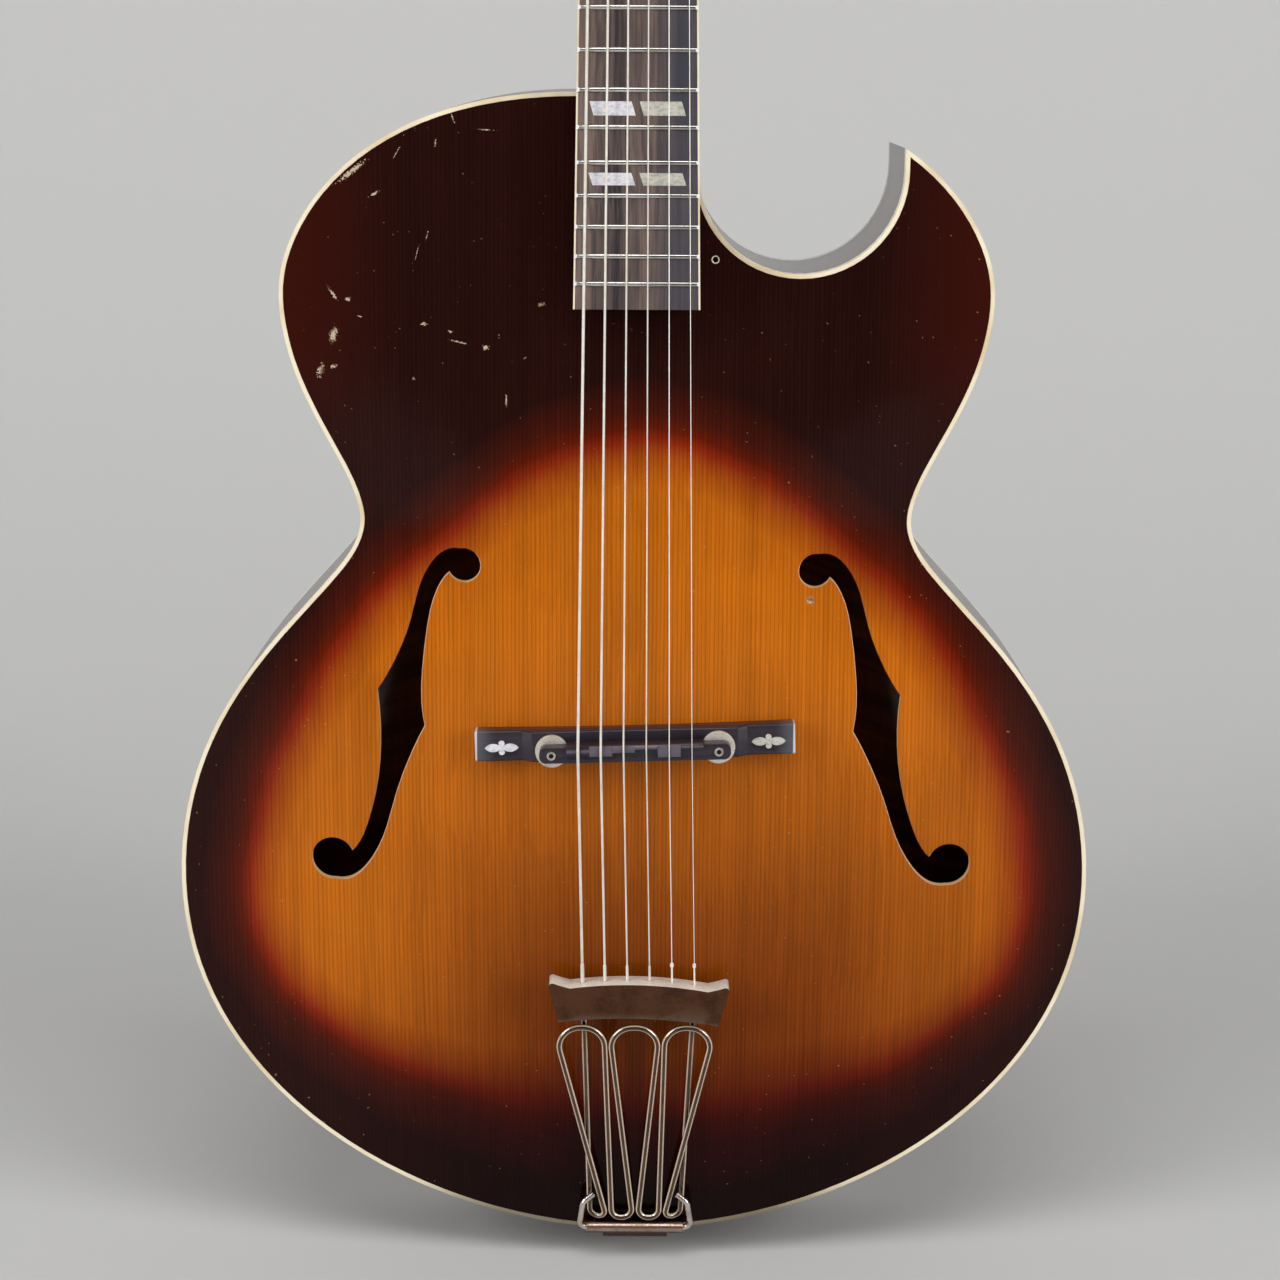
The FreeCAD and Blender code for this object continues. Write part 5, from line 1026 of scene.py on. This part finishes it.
class GUITAR_OT_set_stage(bpy.types.Operator):
    """Lay the floor and backdrop, and set the lamps and the camera"""
    bl_idname = "guitar.set_stage"
    bl_label = "Set the stage"

    def add_lamp(self, name, place, aim, size, power):
        bpy.ops.object.light_add(type="AREA", location=place)
        lamp = bpy.context.object
        lamp.name = name
        lamp.data.shape = "RECTANGLE"
        lamp.data.size, lamp.data.size_y = size
        lamp.data.energy = power
        lamp.rotation_euler = (Vector(aim) - Vector(place)).to_track_quat("-Z", "Y").to_euler()

    def lay_floor(self):
        """A floor that sweeps up into the backdrop."""
        bpy.ops.mesh.primitive_plane_add(size=1, location=(0, FLOOR_MIDDLE, CAD_BOX[0][2] - FLOOR_GAP))
        floor = bpy.context.object
        floor.name = "studio_floor"
        bpy.ops.transform.resize(value=FLOOR_SIZE)
        fix_place()
        bpy.ops.object.mode_set(mode="EDIT")
        bpy.ops.mesh.select_mode(type="EDGE")
        bpy.ops.mesh.select_all(action="DESELECT")
        bpy.ops.object.mode_set(mode="OBJECT")
        far = max(v.co.y for v in floor.data.vertices)
        for edge in floor.data.edges:
            edge.select = all(floor.data.vertices[v].co.y > far - MM for v in edge.vertices)
        bpy.ops.object.mode_set(mode="EDIT")
        bpy.ops.mesh.extrude_region_move(TRANSFORM_OT_translate={"value": (0, 0, BACKDROP_HEIGHT)})
        bpy.ops.object.mode_set(mode="OBJECT")
        sweep = floor.modifiers.new("Sweep", "BEVEL")
        sweep.width = SWEEP_RADIUS
        sweep.segments = SWEEP_SEGMENTS
        bpy.ops.object.modifier_apply(modifier=sweep.name)
        bpy.ops.object.shade_smooth()
        return floor

    def light_room(self, scene, strength):
        world = scene.world or bpy.data.worlds.new("Studio")
        scene.world = world
        world.use_nodes = True
        background = world.node_tree.nodes["Background"]
        background.inputs["Color"].default_value = ROOM_COLOUR
        background.inputs["Strength"].default_value = strength

    def set_camera(self, scene, stage):
        bpy.ops.object.camera_add(location=stage.stand_point)
        camera = bpy.context.object
        camera.name = "studio_camera"
        camera.data.sensor_width = SENSOR_WIDTH
        camera.data.lens = stage.lens
        look = (Vector(stage.aim) - Vector(stage.stand_point)).to_track_quat("-Z", "Y")
        camera.rotation_euler = (look @ Quaternion((0, 0, 1), stage.roll)).to_euler()
        scene.camera = camera
        scene.view_settings.view_transform = "Standard"

    def execute(self, context):
        stage = context.scene.guitar_stage
        settle()
        floor = self.lay_floor()
        floor.data.materials.append(studio_paper(stage.floor_tone))
        self.add_lamp("lamp_left", *LEFT_LAMP, stage.side_light)
        self.add_lamp("lamp_right", *RIGHT_LAMP, stage.side_light)
        self.add_lamp("lamp_above", *UPPER_LAMP, stage.top_light)
        self.light_room(context.scene, stage.room_light)
        self.set_camera(context.scene, stage)
        settle()
        return {"FINISHED"}


class GUITAR_PT_workbench(bpy.types.Panel):
    """Steps of the build, colours and sizes"""
    bl_idname = "GUITAR_PT_workbench"
    bl_label = "Archtop guitar"
    bl_space_type = "VIEW_3D"
    bl_region_type = "UI"
    bl_category = "Guitar"

    def draw(self, context):
        for group in (context.scene.guitar_finish, context.scene.guitar_detail, context.scene.guitar_stage):
            box = self.layout.box()
            for name in group.__annotations__:
                box.prop(group, name)
        for operator in OPERATORS:
            self.layout.operator(operator.bl_idname)


GROUPS = (GuitarFinish, GuitarDetail, GuitarStage)
OPERATORS = (
    GUITAR_OT_finish_body, GUITAR_OT_finish_neck, GUITAR_OT_finish_head, GUITAR_OT_build_bridge,
    GUITAR_OT_build_tailpiece, GUITAR_OT_string_up, GUITAR_OT_set_stage)


def register():
    for made in (*GROUPS, *OPERATORS, GUITAR_PT_workbench):
        bpy.utils.register_class(made)
    bpy.types.Scene.guitar_finish = PointerProperty(type=GuitarFinish)
    bpy.types.Scene.guitar_detail = PointerProperty(type=GuitarDetail)
    bpy.types.Scene.guitar_stage = PointerProperty(type=GuitarStage)


def unregister():
    del bpy.types.Scene.guitar_finish
    del bpy.types.Scene.guitar_detail
    del bpy.types.Scene.guitar_stage
    for made in reversed((*GROUPS, *OPERATORS, GUITAR_PT_workbench)):
        bpy.utils.unregister_class(made)


def main():
    register()
    make_groups()
    bpy.ops.guitar.finish_body()
    bpy.ops.guitar.finish_neck()
    bpy.ops.guitar.finish_head()
    bpy.ops.guitar.build_bridge()
    bpy.ops.guitar.build_tailpiece()
    bpy.ops.guitar.string_up()
    bpy.ops.guitar.set_stage()


if __name__ == "__main__":
    main()
